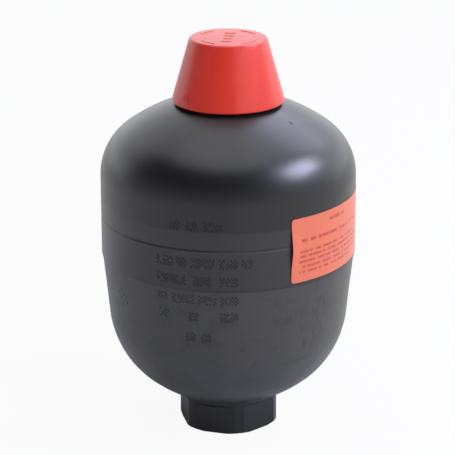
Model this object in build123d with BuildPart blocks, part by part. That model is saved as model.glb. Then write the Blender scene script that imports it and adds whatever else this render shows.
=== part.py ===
"""Welded diaphragm accumulator: a small steel gas-charged pressure vessel for hydraulic oil.

Two forged steel halves are welded round the middle. Inside, a rubber diaphragm is clamped by
its rim bead and parts the gas above from the oil below. A steel button in the middle of the
diaphragm closes the oil port when the oil is gone. The gas valve stands in a boss on the crown,
under its own screwed cap and a moulded protective cap.

Frame: millimetres, +Z up along the axis, origin at the centre of the oil port's face.
The front of the accumulator faces -Y. Threads are plain cylinders at their fitting radius.
"""

import os
from math import acos, atan2, cos, degrees, hypot, radians, sin, sqrt, tan

from build123d import *

# ---------------------------------------------------------------- driving dimensions

# vessel, outside
BODY_R = 57.0  # turned band and cylinder
SEAM_Z = 99.7  # middle of the weld between the halves
WELD_W = 0.7  # width of the weld
WELD_SINK = 0.4  # depth of the weld's edge below the band, and the chamfer beside it
WELD_CROWN = 0.1  # how far the bead rises between its edges
BAND_ABOVE = 8.2  # turned band above the seam, ended by a fine tool line
BAND_BELOW = 17.5  # turned band below the seam
TOOL_LINE_W = 0.6
TOOL_LINE_DEPTH = 0.15
CYLINDER_ABOVE = 18.3  # seam to the start of the dome
UPPER_KNUCKLE_OFFSET = 31.3  # the upper knuckle's centre from the axis
UPPER_CROWN_SHIFT = 42.52  # the crown's centre below the knuckle's
BAND_STEP = 0.4  # step from the turned band down to the forged taper
TAPER_ANGLE = 5.96
BOWL_POLE_Z = 11.16  # where the lower crown would reach the axis, inside the port
LOWER_KNUCKLE_OFFSET = 11.2  # the lower knuckle's centre from the axis
LOWER_CROWN_SHIFT = 13.6  # the crown's centre above the knuckle's

# walls
UPPER_WALL = 4.9
LOWER_WALL = 5.0
RING_BORE_WALL = 4.5  # wall left where both halves are bored for the clamp ring

# oil port, G1/2
PORT_HEX_AF = 41.0
PORT_HEX_TURN = -17.0  # turn of the hexagon about the axis
PORT_TURNED_R = 22.5  # the hexagon's corners are turned off at this radius
PORT_FLAT_GAP = 0.35  # the flats end this far below the bowl
PORT_CHAMFER = 1.3
PORT_CHAMFER_ANGLE = 30.0
PORT_THREAD_R = 9.3155  # minor radius of G1/2
PORT_THREAD_DEPTH = 16.0
PORT_COUNTERSINK = 1.3
PASSAGE_R = 6.0
PASSAGE_LENGTH = 4.5  # thread's end to the chamber floor
SEAT_CHAMFER = 0.8

# clamp ring and diaphragm
LEDGE_DROP = 20.7  # seam to the ledge that carries the bead
COUNTERBORE_RISE = 4.8  # seam to the top of the ring's counterbore
RING_T = 2.5
RING_SKIRT_T = 2.1
RING_SKIRT_DEPTH = 6.4
BEAD_HEIGHT = 6.7
BEAD_WIDTH = 4.1
MEMBRANE_T = 2.5

# closing button
BUTTON_R = 12.0
BUTTON_T = 2.8
BUTTON_CHAMFER = 0.8
STUD_R = 3.0
WASHER_R = 8.5
WASHER_T = 1.5
WASHER_FILLET = 0.5
RIVET_HEAD_R = 4.3
RIVET_HEAD_H = 1.2

# gas boss in the crown and its weld
BOSS_R = 17.0
BOSS_RISE = 3.5  # boss face above the crown
BOSS_LENGTH = 12.9
BOSS_CHAMFER = 0.5
BOSS_BORE_R = 10.45
BOSS_WELD_W = 2.8  # width of the weld groove at the surface
BOSS_WELD_ROOT = 1.0  # unchamfered root of the groove
BOSS_WELD_CROWN = 0.8

# gas valve body and its seal
VALVE_HEX_AF = 24.0
VALVE_HEX_H = 4.5
VALVE_SHANK_L = 9.8
HEX_CONE_ANGLE = 30.0  # turned cone that takes off a hexagon's top corners
STEM_R = 7.94  # major radius of 5/8-18 UNF
STEM_H = 6.5
STEM_CHAMFER = 0.6
SEAL_WIRE = 1.7  # section of the round seal ring
BACKUP_W = 0.8  # width of the backup ring outside it

# valve core, large bore
CORE_THREAD_R = 3.85
CORE_PLUG_H = 3.8
CORE_PLUG_FLATS = 5.6
CORE_PLUG_FLATS_H = 2.2
CORE_SUNK = 1.2  # plug's top below the stem's face
BARREL_R = 3.0
BARREL_TOP_H = 3.0
BARREL_LOW_R = 2.4
BARREL_LOW_H = 4.4
BARREL_FLOOR = 1.6
SPRING_BORE_R = 1.9
CORE_SEAT_SLOPE = 0.5
LOW_BORE_EXTRA = 0.125  # more room below the seat, so that the barrel seals on the seat alone
CORE_SEAL_H = 1.3
PIN_R = 0.8
PIN_HOLE_R = 0.9
PIN_SUNK = 0.4  # pin's tip below the stem's face
PIN_COLLAR_R = 1.6
PIN_COLLAR_H = 0.6
PIN_COLLAR_DROP = 0.5  # collar's top below the barrel's top
PIN_CUP_R = 2.2
PIN_CUP_H = 0.7
PIN_CUP_WALL = 0.3
POPPET_SEAL_H = 0.95
SPRING_WIRE = 0.5
SPRING_R = 1.45  # mean radius
SPRING_TURNS = 4
VALVE_PASSAGE_R = 1.5
VALVE_PASSAGE_L = 2.9

# valve cap
VALVE_CAP_AF = 20.0
VALVE_CAP_ROOF = 1.5
CAP_WASHER_T = 0.8
CAP_WASHER_BORE_R = 4.2

# protective cap
CAP_BASE_R = 25.1
CAP_TOP_R = 17.05
CAP_HEIGHT = 28.6
CAP_OVERHANG = 2.7  # cap's rim below the crown
CAP_WALL = 2.0
CAP_ROOF = 2.2
CAP_TOP_FILLET = 1.2
CAP_EDGE_FILLET = 0.7
CAP_RIB_COUNT = 8
CAP_RIB_T = 1.4
CAP_RIB_GRIP = 3.9  # length of the ribs' grip on the boss

# rating sticker
STICKER_ARC = 67.5  # degrees round the body
STICKER_TURN = -26.25  # direction of its middle, from +X
STICKER_HEIGHT = 29.7
STICKER_DROP = 1.45  # its middle below the seam
STICKER_T = 0.08
STICKER_CORNER_R = 1.5

# clearances
RUNNING = 0.06  # radial, a thread or bore round a moving piece
PRESSED = 0.05  # beside a piece that is clamped, pressed or screwed home
STUCK = 0.01  # under the sticker's film
SEATED = 0.3  # between a piece that lifts off and its seat
RELIEF = 0.7  # round a piece that must pass freely

# ---------------------------------------------------------------- derived places

weld_bottom = SEAM_Z - WELD_W / 2
weld_top = SEAM_Z + WELD_W / 2
ring_bore_r = BODY_R - RING_BORE_WALL
counterbore_z = SEAM_Z + COUNTERBORE_RISE
ledge_z = SEAM_Z - LEDGE_DROP

# upper dome: a knuckle arc tangent to the cylinder, and a crown arc tangent to the knuckle
upper_knuckle = (UPPER_KNUCKLE_OFFSET, SEAM_Z + CYLINDER_ABOVE)
upper_crown = (0, upper_knuckle[1] - UPPER_CROWN_SHIFT)
upper_knuckle_r = BODY_R - UPPER_KNUCKLE_OFFSET
upper_crown_r = upper_knuckle_r + hypot(UPPER_KNUCKLE_OFFSET, UPPER_CROWN_SHIFT)
upper_tangent = degrees(atan2(UPPER_CROWN_SHIFT, UPPER_KNUCKLE_OFFSET))
crown_z = upper_crown[1] + upper_crown_r

# lower bowl: a taper, a knuckle arc tangent to it, and a crown arc tangent to the knuckle;
# the knuckle's radius is the one that puts the crown's pole at its height
taper_top = (BODY_R - BAND_STEP, SEAM_Z - BAND_BELOW - BAND_STEP)
taper_slope = tan(radians(TAPER_ANGLE))
taper_cos = cos(radians(TAPER_ANGLE))
lower_centres = hypot(LOWER_KNUCKLE_OFFSET, LOWER_CROWN_SHIFT)
pole_drop = taper_top[1] - BOWL_POLE_Z + LOWER_CROWN_SHIFT - lower_centres
lower_knuckle_r = taper_cos * (taper_top[0] - LOWER_KNUCKLE_OFFSET - pole_drop * taper_slope)
lower_knuckle_r /= 1 - sin(radians(TAPER_ANGLE))
lower_crown_r = lower_knuckle_r + lower_centres
lower_crown = (0, BOWL_POLE_Z + lower_crown_r)
lower_knuckle = (LOWER_KNUCKLE_OFFSET, lower_crown[1] - LOWER_CROWN_SHIFT)
lower_tangent = -degrees(atan2(LOWER_CROWN_SHIFT, LOWER_KNUCKLE_OFFSET))
floor_z = PORT_THREAD_DEPTH + PASSAGE_LENGTH

# gas boss, valve body and core, from the crown up
boss_top = crown_z + BOSS_RISE
boss_bottom = boss_top - BOSS_LENGTH
seal_recess_r = BOSS_BORE_R + SEAL_WIRE + BACKUP_W + 2 * PRESSED
seal_recess_z = boss_top - SEAL_WIRE - PRESSED
valve_hex_top = boss_top + VALVE_HEX_H
stem_top = valve_hex_top + STEM_H
valve_bottom = boss_top - VALVE_SHANK_L
plug_top = stem_top - CORE_SUNK
barrel_top = plug_top - CORE_PLUG_H
barrel_shoulder = barrel_top - BARREL_TOP_H
barrel_bottom = barrel_shoulder - BARREL_LOW_H
spring_floor = barrel_bottom + BARREL_FLOOR
collar_top = barrel_top - PIN_COLLAR_DROP
collar_bottom = collar_top - PIN_COLLAR_H
poppet_top = barrel_bottom - PRESSED
poppet_bottom = poppet_top - POPPET_SEAL_H
core_bore_r = BARREL_R + PRESSED
low_bore_r = BARREL_LOW_R + PRESSED + LOW_BORE_EXTRA
cone_slope = tan(radians(HEX_CONE_ANGLE))

# protective cap
cap_bottom = crown_z - CAP_OVERHANG
cap_top = cap_bottom + CAP_HEIGHT
cap_roof_z = cap_top - CAP_ROOF
cap_slope = (CAP_BASE_R - CAP_TOP_R) / CAP_HEIGHT


def polar_point(centre, radius, angle):
    """A point of the half section at an angle from the horizontal, as (r, z)."""
    return (
        centre[0] + radius * cos(radians(angle)),
        centre[1] + radius * sin(radians(angle)),
    )


def arc_points(centre, radius, start, end):
    """Start, middle and end of an arc of the half section."""
    return [polar_point(centre, radius, a) for a in (start, (start + end) / 2, end)]


def dome_arcs(inset, end_r):
    """Knuckle and crown arcs of the upper shell, from the cylinder in to end_r."""
    end_angle = degrees(acos(end_r / (upper_crown_r - inset)))
    return (
        arc_points(upper_knuckle, upper_knuckle_r - inset, 0, upper_tangent),
        arc_points(upper_crown, upper_crown_r - inset, upper_tangent, end_angle),
    )


def bowl_arcs(inset, end_r):
    """Knuckle and crown arcs of the lower shell, from the taper in to end_r."""
    end_angle = -degrees(acos(end_r / (lower_crown_r - inset)))
    return (
        arc_points(lower_knuckle, lower_knuckle_r - inset, -TAPER_ANGLE, lower_tangent),
        arc_points(lower_crown, lower_crown_r - inset, lower_tangent, end_angle),
    )


def dome_z(radius, inset=0.0):
    """Height of the upper crown's surface at a radius."""
    return upper_crown[1] + sqrt((upper_crown_r - inset) ** 2 - radius**2)


def bowl_z(radius, inset=0.0):
    """Height of the lower crown's surface at a radius."""
    return lower_crown[1] - sqrt((lower_crown_r - inset) ** 2 - radius**2)


def bowl_r(height, inset):
    """Radius at which the lower crown's surface reaches a height."""
    return sqrt((lower_crown_r - inset) ** 2 - (lower_crown[1] - height) ** 2)


def taper_r(height, inset):
    """Radius of the forged taper at a height."""
    outside = taper_top[0] - (taper_top[1] - height) * taper_slope
    return outside - inset / taper_cos


def cap_r(height, inset=0.0):
    """Radius of the protective cap's cone at a height."""
    return CAP_BASE_R - (height - cap_bottom) * cap_slope - inset


os.makedirs("parts", exist_ok=True)

# ---------------------------------------------------------------- upper shell, gas side

prep_r = BOSS_R + BOSS_WELD_W
shell_hole_r = BOSS_R + PRESSED
root_z = dome_z(shell_hole_r, UPPER_WALL) + BOSS_WELD_ROOT
tool_line_z = SEAM_Z + BAND_ABOVE
outer_knuckle, outer_crown = dome_arcs(0, prep_r)
inner_knuckle, inner_crown = dome_arcs(UPPER_WALL, shell_hole_r)

with BuildPart() as upper_shell:
    with BuildSketch(Plane.XZ):
        with BuildLine():
            Polyline(
                (ring_bore_r, weld_top),
                (BODY_R - WELD_SINK, weld_top),
                (BODY_R, weld_top + WELD_SINK),
                (BODY_R, tool_line_z - TOOL_LINE_W / 2),
                (BODY_R - TOOL_LINE_DEPTH, tool_line_z),
                (BODY_R, tool_line_z + TOOL_LINE_W / 2),
                outer_knuckle[0],
            )
            ThreePointArc(*outer_knuckle)
            ThreePointArc(*outer_crown)
            Polyline(outer_crown[-1], (shell_hole_r, root_z), inner_crown[-1])
            ThreePointArc(*inner_crown)
            ThreePointArc(*inner_knuckle)
            Polyline(
                inner_knuckle[0],
                (BODY_R - UPPER_WALL, counterbore_z),
                (ring_bore_r, counterbore_z),
                (ring_bore_r, weld_top),
            )
        make_face()
    revolve(axis=Axis.Z)
upper_shell.part.label = "upper_shell"
export_step(upper_shell.part, "parts/upper_shell.step")

# ---------------------------------------------------------------- lower shell, oil side

hex_top = bowl_z(PORT_HEX_AF / 2) - PORT_FLAT_GAP
chamfer_h = PORT_CHAMFER * tan(radians(PORT_CHAMFER_ANGLE))
chamber_r = bowl_r(floor_z, LOWER_WALL)
outer_knuckle, outer_crown = bowl_arcs(0, PORT_TURNED_R)
inner_knuckle, inner_crown = bowl_arcs(LOWER_WALL, chamber_r)

with BuildPart() as lower_shell:
    with BuildSketch(Plane.XZ):
        with BuildLine():
            Polyline(
                (PORT_THREAD_R + PORT_COUNTERSINK, 0),
                (PORT_TURNED_R - PORT_CHAMFER, 0),
                (PORT_TURNED_R, chamfer_h),
                outer_crown[-1],
            )
            ThreePointArc(*outer_crown)
            ThreePointArc(*outer_knuckle)
            Polyline(
                outer_knuckle[0],
                taper_top,
                (BODY_R, taper_top[1] + BAND_STEP),
                (BODY_R, weld_bottom - WELD_SINK),
                (BODY_R - WELD_SINK, weld_bottom),
                (ring_bore_r, weld_bottom),
                (ring_bore_r, ledge_z),
                (taper_r(ledge_z, LOWER_WALL), ledge_z),
                inner_knuckle[0],
            )
            ThreePointArc(*inner_knuckle)
            ThreePointArc(*inner_crown)
            Polyline(
                inner_crown[-1],
                (PASSAGE_R + SEAT_CHAMFER, floor_z),
                (PASSAGE_R, floor_z - SEAT_CHAMFER),
                (PASSAGE_R, PORT_THREAD_DEPTH + (PORT_THREAD_R - PASSAGE_R) / 2),
                (PORT_THREAD_R, PORT_THREAD_DEPTH),
                (PORT_THREAD_R, PORT_COUNTERSINK),
                (PORT_THREAD_R + PORT_COUNTERSINK, 0),
            )
        make_face()
    revolve(axis=Axis.Z)
    with BuildSketch(Plane.XY):
        Circle(PORT_TURNED_R + RELIEF)
        RegularPolygon(
            PORT_HEX_AF / 2, 6, major_radius=False, rotation=PORT_HEX_TURN, mode=Mode.SUBTRACT
        )
    extrude(amount=hex_top, mode=Mode.SUBTRACT)
lower_shell.part.label = "lower_shell"
export_step(lower_shell.part, "parts/lower_shell.step")

# ---------------------------------------------------------------- weld between the halves

weld_edge_r = BODY_R - WELD_SINK

with BuildPart() as weld_seam:
    with BuildSketch(Plane.XZ):
        with BuildLine():
            Polyline(
                (weld_edge_r, weld_top),
                (ring_bore_r, weld_top),
                (ring_bore_r, weld_bottom),
                (weld_edge_r, weld_bottom),
            )
            ThreePointArc(
                (weld_edge_r, weld_bottom),
                (weld_edge_r + WELD_CROWN, SEAM_Z),
                (weld_edge_r, weld_top),
            )
        make_face()
    revolve(axis=Axis.Z)
weld_seam.part.label = "weld_seam"
export_step(weld_seam.part, "parts/weld_seam.step")

# ---------------------------------------------------------------- clamp ring

ring_r = ring_bore_r - PRESSED
ring_top = counterbore_z - PRESSED
bead_bottom = ledge_z + PRESSED
bead_top = bead_bottom + BEAD_HEIGHT
web_bottom = bead_top + PRESSED
bead_r = ring_bore_r - PRESSED
bead_inner_r = bead_r - BEAD_WIDTH
skirt_r = bead_inner_r - PRESSED

with BuildPart() as clamp_ring:
    with BuildSketch(Plane.XZ):
        with BuildLine():
            Polyline(
                (ring_r, web_bottom),
                (ring_r, ring_top),
                (ring_r - RING_T, ring_top),
                (ring_r - RING_T, web_bottom + RING_T),
                (skirt_r - RING_SKIRT_T, web_bottom + RING_T),
                (skirt_r - RING_SKIRT_T, web_bottom - RING_SKIRT_DEPTH),
                (skirt_r, web_bottom - RING_SKIRT_DEPTH),
                (skirt_r, web_bottom),
                close=True,
            )
        make_face()
    revolve(axis=Axis.Z)
clamp_ring.part.label = "clamp_ring"
export_step(clamp_ring.part, "parts/clamp_ring.step")

# ---------------------------------------------------------------- closing button and its washer

button_bottom = floor_z + SEATED
button_top = button_bottom + BUTTON_T
hub_bottom = button_top + PRESSED
hub_top = hub_bottom + MEMBRANE_T
washer_bottom = hub_top + PRESSED
washer_top = washer_bottom + WASHER_T
head_z = washer_top + PRESSED
head_r = (RIVET_HEAD_R**2 + RIVET_HEAD_H**2) / (2 * RIVET_HEAD_H)
head_centre_z = head_z + RIVET_HEAD_H - head_r
head_start = degrees(acos(RIVET_HEAD_R / head_r))

with BuildPart() as closing_button:
    with BuildSketch(Plane.XZ):
        with BuildLine():
            Polyline(
                (0, button_bottom),
                (BUTTON_R - BUTTON_CHAMFER, button_bottom),
                (BUTTON_R, button_bottom + BUTTON_CHAMFER),
                (BUTTON_R, button_top),
                (STUD_R, button_top),
                (STUD_R, head_z),
                (RIVET_HEAD_R, head_z),
            )
            ThreePointArc(*arc_points((0, head_centre_z), head_r, head_start, 90))
            Line((0, head_z + RIVET_HEAD_H), (0, button_bottom))
        make_face()
    revolve(axis=Axis.Z)
closing_button.part.label = "closing_button"
export_step(closing_button.part, "parts/closing_button.step")

with BuildPart() as button_washer:
    with BuildSketch(Plane.XY.offset(washer_bottom)):
        Circle(WASHER_R)
        Circle(STUD_R + PRESSED, mode=Mode.SUBTRACT)
    extrude(amount=WASHER_T)
    fillet(button_washer.edges().group_by(Axis.Z)[-1].sort_by(SortBy.RADIUS)[-1], WASHER_FILLET)
button_washer.part.label = "button_washer"
export_step(button_washer.part, "parts/button_washer.step")

# ---------------------------------------------------------------- diaphragm

# It lies in the lower shell, as the gas holds it when there is no oil.
under = LOWER_WALL + SEATED
over = under + MEMBRANE_T
rest_z = floor_z + SEATED
pocket_r = BUTTON_R + PRESSED
shoulder_r = pocket_r + MEMBRANE_T
under_knuckle, under_crown = bowl_arcs(under, bowl_r(rest_z, under))
over_knuckle, over_crown = bowl_arcs(over, bowl_r(rest_z + MEMBRANE_T, over))

with BuildPart() as diaphragm:
    with BuildSketch(Plane.XZ):
        with BuildLine():
            Polyline(
                (STUD_R + PRESSED, hub_bottom),
                (pocket_r, hub_bottom),
                (pocket_r, rest_z),
                under_crown[-1],
            )
            ThreePointArc(*under_crown)
            ThreePointArc(*under_knuckle)
            Polyline(
                under_knuckle[0],
                (taper_r(bead_bottom, under), bead_bottom),
                (bead_r, bead_bottom),
                (bead_r, bead_top),
                (bead_inner_r, bead_top),
                (bead_inner_r, bead_bottom),
                over_knuckle[0],
            )
            ThreePointArc(*over_knuckle)
            ThreePointArc(*over_crown)
            Polyline(
                over_crown[-1],
                (shoulder_r, rest_z + MEMBRANE_T),
                (shoulder_r, hub_top),
                (STUD_R + PRESSED, hub_top),
                (STUD_R + PRESSED, hub_bottom),
            )
        make_face()
    revolve(axis=Axis.Z)
diaphragm.part.label = "diaphragm"
export_step(diaphragm.part, "parts/diaphragm.step")

# ---------------------------------------------------------------- gas boss and its weld

with BuildPart() as gas_boss:
    with BuildSketch(Plane.XZ):
        with BuildLine():
            Polyline(
                (BOSS_BORE_R, boss_bottom),
                (BOSS_R - BOSS_CHAMFER, boss_bottom),
                (BOSS_R, boss_bottom + BOSS_CHAMFER),
                (BOSS_R, boss_top - BOSS_CHAMFER),
                (BOSS_R - BOSS_CHAMFER, boss_top),
                (seal_recess_r, boss_top),
                (seal_recess_r, seal_recess_z),
                (BOSS_BORE_R, seal_recess_z),
                close=True,
            )
        make_face()
    revolve(axis=Axis.Z)
gas_boss.part.label = "gas_boss"
export_step(gas_boss.part, "parts/gas_boss.step")

with BuildPart() as boss_weld:
    with BuildSketch(Plane.XZ):
        with BuildLine():
            Polyline(
                (BOSS_R, dome_z(BOSS_R) + BOSS_WELD_CROWN),
                (BOSS_R, root_z),
                (shell_hole_r, root_z),
                (prep_r, dome_z(prep_r)),
            )
            ThreePointArc(
                (prep_r, dome_z(prep_r)),
                ((BOSS_R + prep_r) / 2, dome_z((BOSS_R + prep_r) / 2) + BOSS_WELD_CROWN),
                (BOSS_R, dome_z(BOSS_R) + BOSS_WELD_CROWN),
            )
        make_face()
    revolve(axis=Axis.Z)
boss_weld.part.label = "boss_weld"
export_step(boss_weld.part, "parts/boss_weld.step")

# ---------------------------------------------------------------- gas valve body and its seals

with BuildPart() as valve_body:
    with BuildSketch(Plane.XY.offset(boss_top)):
        RegularPolygon(VALVE_HEX_AF / 2, 6, major_radius=False)
    extrude(amount=VALVE_HEX_H)
    with BuildSketch(Plane.XZ):  # the hexagon's top corners are turned to a cone
        with BuildLine():
            Polyline(
                (VALVE_HEX_AF / 2, valve_hex_top),
                (VALVE_HEX_AF, valve_hex_top),
                (VALVE_HEX_AF, valve_hex_top - VALVE_HEX_AF / 2 * cone_slope),
                close=True,
            )
        make_face()
    revolve(axis=Axis.Z, mode=Mode.SUBTRACT)
    with BuildSketch(Plane.XZ):
        with BuildLine():
            Polyline(
                (0, valve_bottom),
                (BOSS_BORE_R - PRESSED - STEM_CHAMFER, valve_bottom),
                (BOSS_BORE_R - PRESSED, valve_bottom + STEM_CHAMFER),
                (BOSS_BORE_R - PRESSED, boss_top),
                (STEM_R, boss_top),
                (STEM_R, stem_top - STEM_CHAMFER),
                (STEM_R - STEM_CHAMFER, stem_top),
                (0, stem_top),
                close=True,
            )
        make_face()
    revolve(axis=Axis.Z)
    with BuildSketch(Plane.XZ):
        with BuildLine():
            Polyline(
                (0, stem_top),
                (CORE_THREAD_R + PRESSED, stem_top),
                (CORE_THREAD_R + PRESSED, barrel_top),
                (core_bore_r, barrel_top),
                (core_bore_r, barrel_shoulder - CORE_SEAL_H + CORE_SEAT_SLOPE),
                (low_bore_r, barrel_shoulder - CORE_SEAL_H),
                (low_bore_r, valve_bottom + VALVE_PASSAGE_L),
                (VALVE_PASSAGE_R, valve_bottom + VALVE_PASSAGE_L),
                (VALVE_PASSAGE_R, valve_bottom),
                (0, valve_bottom),
                close=True,
            )
        make_face()
    revolve(axis=Axis.Z, mode=Mode.SUBTRACT)
valve_body.part.label = "valve_body"
export_step(valve_body.part, "parts/valve_body.step")

with BuildPart() as valve_body_seal:
    with BuildSketch(Plane.XZ):
        with Locations((BOSS_BORE_R + PRESSED / 2 + SEAL_WIRE / 2, boss_top - SEAL_WIRE / 2)):
            Circle(SEAL_WIRE / 2)
    revolve(axis=Axis.Z)
valve_body_seal.part.label = "valve_body_seal"
export_step(valve_body_seal.part, "parts/valve_body_seal.step")

with BuildPart() as backup_ring:
    with BuildSketch(Plane.XY.offset(seal_recess_z)):
        Circle(seal_recess_r - PRESSED / 2)
        Circle(seal_recess_r - PRESSED / 2 - BACKUP_W, mode=Mode.SUBTRACT)
    extrude(amount=SEAL_WIRE)
backup_ring.part.label = "backup_ring"
export_step(backup_ring.part, "parts/backup_ring.step")

# ---------------------------------------------------------------- valve core

with BuildPart() as core_plug:
    with BuildSketch(Plane.XY.offset(barrel_top)):
        Circle(CORE_THREAD_R)
    extrude(amount=CORE_PLUG_H - CORE_PLUG_FLATS_H)
    with BuildSketch(Plane.XY.offset(plug_top - CORE_PLUG_FLATS_H)):
        Circle(CORE_THREAD_R)
        Rectangle(2 * CORE_THREAD_R, CORE_PLUG_FLATS, mode=Mode.INTERSECT)
    extrude(amount=CORE_PLUG_FLATS_H)
    with BuildSketch(Plane.XY.offset(barrel_top)):
        Circle(SPRING_BORE_R)
    extrude(amount=CORE_PLUG_H, mode=Mode.SUBTRACT)
core_plug.part.label = "core_plug"
export_step(core_plug.part, "parts/core_plug.step")

with BuildPart() as core_barrel:
    with BuildSketch(Plane.XZ):
        with BuildLine():
            Polyline(
                (SPRING_BORE_R, barrel_top),
                (BARREL_R, barrel_top),
                (BARREL_R, barrel_shoulder),
                (BARREL_LOW_R, barrel_shoulder),
                (BARREL_LOW_R, barrel_bottom),
                (PIN_HOLE_R, barrel_bottom),
                (PIN_HOLE_R, spring_floor),
                (SPRING_BORE_R, spring_floor),
                close=True,
            )
        make_face()
    revolve(axis=Axis.Z)
core_barrel.part.label = "core_barrel"
export_step(core_barrel.part, "parts/core_barrel.step")

with BuildPart() as core_barrel_seal:
    with BuildSketch(Plane.XZ):
        with BuildLine():
            Polyline(
                (BARREL_LOW_R, barrel_shoulder),
                (core_bore_r - PRESSED / 2, barrel_shoulder),
                (core_bore_r - PRESSED / 2, barrel_shoulder - CORE_SEAL_H + CORE_SEAT_SLOPE),
                (low_bore_r - PRESSED / 2, barrel_shoulder - CORE_SEAL_H),
                (BARREL_LOW_R, barrel_shoulder - CORE_SEAL_H),
                close=True,
            )
        make_face()
    revolve(axis=Axis.Z)
core_barrel_seal.part.label = "core_barrel_seal"
export_step(core_barrel_seal.part, "parts/core_barrel_seal.step")

with BuildPart() as core_pin:
    with BuildSketch(Plane.XZ):
        with BuildLine():
            Polyline(
                (0, stem_top - PIN_SUNK),
                (PIN_R, stem_top - PIN_SUNK),
                (PIN_R, collar_top),
                (PIN_COLLAR_R, collar_top),
                (PIN_COLLAR_R, collar_bottom),
                (PIN_R, collar_bottom),
                (PIN_R, poppet_bottom),
                (PIN_CUP_R, poppet_bottom),
                (PIN_CUP_R, poppet_bottom - PIN_CUP_H),
                (0, poppet_bottom - PIN_CUP_H),
                close=True,
            )
        make_face()
    revolve(axis=Axis.Z)
core_pin.part.label = "core_pin"
export_step(core_pin.part, "parts/core_pin.step")

with BuildPart() as poppet_seal:
    with BuildSketch(Plane.XY.offset(poppet_bottom)):
        Circle(PIN_CUP_R - PIN_CUP_WALL)
        Circle(PIN_R, mode=Mode.SUBTRACT)
    extrude(amount=POPPET_SEAL_H)
poppet_seal.part.label = "poppet_seal"
export_step(poppet_seal.part, "parts/poppet_seal.step")

spring_z = spring_floor + SPRING_WIRE / 2 + PRESSED / 2
spring_h = collar_bottom - spring_floor - SPRING_WIRE - PRESSED

with BuildPart() as core_spring:
    with BuildLine() as coil:
        Helix(
            pitch=spring_h / SPRING_TURNS,
            height=spring_h,
            radius=SPRING_R,
            center=(0, 0, spring_z),
        )
    with BuildSketch(Plane(origin=coil.line @ 0, z_dir=coil.line % 0)):
        Circle(SPRING_WIRE / 2)
    sweep()
core_spring.part.label = "core_spring"
export_step(core_spring.part, "parts/core_spring.step")

# ---------------------------------------------------------------- valve cap and its washer

valve_cap_bottom = valve_hex_top + SEATED
cap_washer_bottom = stem_top + SEATED
valve_cap_ceiling = cap_washer_bottom + CAP_WASHER_T
valve_cap_top = valve_cap_ceiling + VALVE_CAP_ROOF
valve_cap_bore_r = STEM_R + RUNNING

with BuildPart() as valve_cap:
    with BuildSketch(Plane.XY.offset(valve_cap_bottom)):
        RegularPolygon(VALVE_CAP_AF / 2, 6, major_radius=False)
    extrude(amount=valve_cap_top - valve_cap_bottom)
    with BuildSketch(Plane.XZ):  # the hexagon's top corners are turned to a cone
        with BuildLine():
            Polyline(
                (VALVE_CAP_AF / 2, valve_cap_top),
                (VALVE_CAP_AF, valve_cap_top),
                (VALVE_CAP_AF, valve_cap_top - VALVE_CAP_AF / 2 * cone_slope),
                close=True,
            )
        make_face()
    revolve(axis=Axis.Z, mode=Mode.SUBTRACT)
    with BuildSketch(Plane.XY.offset(valve_cap_bottom)):
        Circle(valve_cap_bore_r)
    extrude(amount=valve_cap_ceiling - valve_cap_bottom, mode=Mode.SUBTRACT)
valve_cap.part.label = "valve_cap"
export_step(valve_cap.part, "parts/valve_cap.step")

with BuildPart() as valve_cap_washer:
    with BuildSketch(Plane.XY.offset(cap_washer_bottom)):
        Circle(valve_cap_bore_r - PRESSED)
        Circle(CAP_WASHER_BORE_R, mode=Mode.SUBTRACT)
    extrude(amount=CAP_WASHER_T)
valve_cap_washer.part.label = "valve_cap_washer"
export_step(valve_cap_washer.part, "parts/valve_cap_washer.step")

# ---------------------------------------------------------------- protective cap

grip_r = BOSS_R + RUNNING
grip_top = boss_top + SEATED
free_r = VALVE_HEX_AF / sqrt(3) + RELIEF

with BuildPart() as cap_rib:
    with BuildSketch(Plane.XZ):
        with BuildLine():
            Polyline(
                (grip_r, grip_top - CAP_RIB_GRIP),
                (cap_r(grip_top - CAP_RIB_GRIP, CAP_WALL / 2), grip_top - CAP_RIB_GRIP),
                (cap_r(cap_roof_z, CAP_WALL / 2), cap_roof_z),
                (cap_r(cap_roof_z, CAP_WALL / 2), cap_roof_z + CAP_ROOF / 2),
                (free_r, cap_roof_z + CAP_ROOF / 2),
                (free_r, grip_top),
                (grip_r, grip_top),
                close=True,
            )
        make_face()
    extrude(amount=CAP_RIB_T / 2, both=True)

with BuildPart() as protective_cap:
    with BuildSketch(Plane.XZ):
        with BuildLine():
            Polyline(
                (cap_r(cap_bottom, CAP_WALL), cap_bottom),
                (CAP_BASE_R, cap_bottom),
                (cap_r(cap_top), cap_top),
                (0, cap_top),
                (0, cap_roof_z),
                (cap_r(cap_roof_z, CAP_WALL), cap_roof_z),
                close=True,
            )
        make_face()
    revolve(axis=Axis.Z)
    fillet(protective_cap.edges().group_by(Axis.Z)[-1], CAP_TOP_FILLET)
    lower_edges = protective_cap.edges().group_by(Axis.Z)[0]
    fillet(lower_edges.sort_by(SortBy.RADIUS)[-1], CAP_EDGE_FILLET)
    with PolarLocations(0, CAP_RIB_COUNT):
        add(cap_rib.part)
protective_cap.part.label = "protective_cap"
export_step(protective_cap.part, "parts/protective_cap.step")

# ---------------------------------------------------------------- rating sticker

sticker_r = BODY_R + STUCK
sticker_width = 2 * BODY_R * sin(radians(STICKER_ARC / 2))
sticker_plane = Plane(
    origin=(0, 0, SEAM_Z - STICKER_DROP),
    x_dir=(-sin(radians(STICKER_TURN)), cos(radians(STICKER_TURN)), 0),
    z_dir=(cos(radians(STICKER_TURN)), sin(radians(STICKER_TURN)), 0),
)

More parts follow.
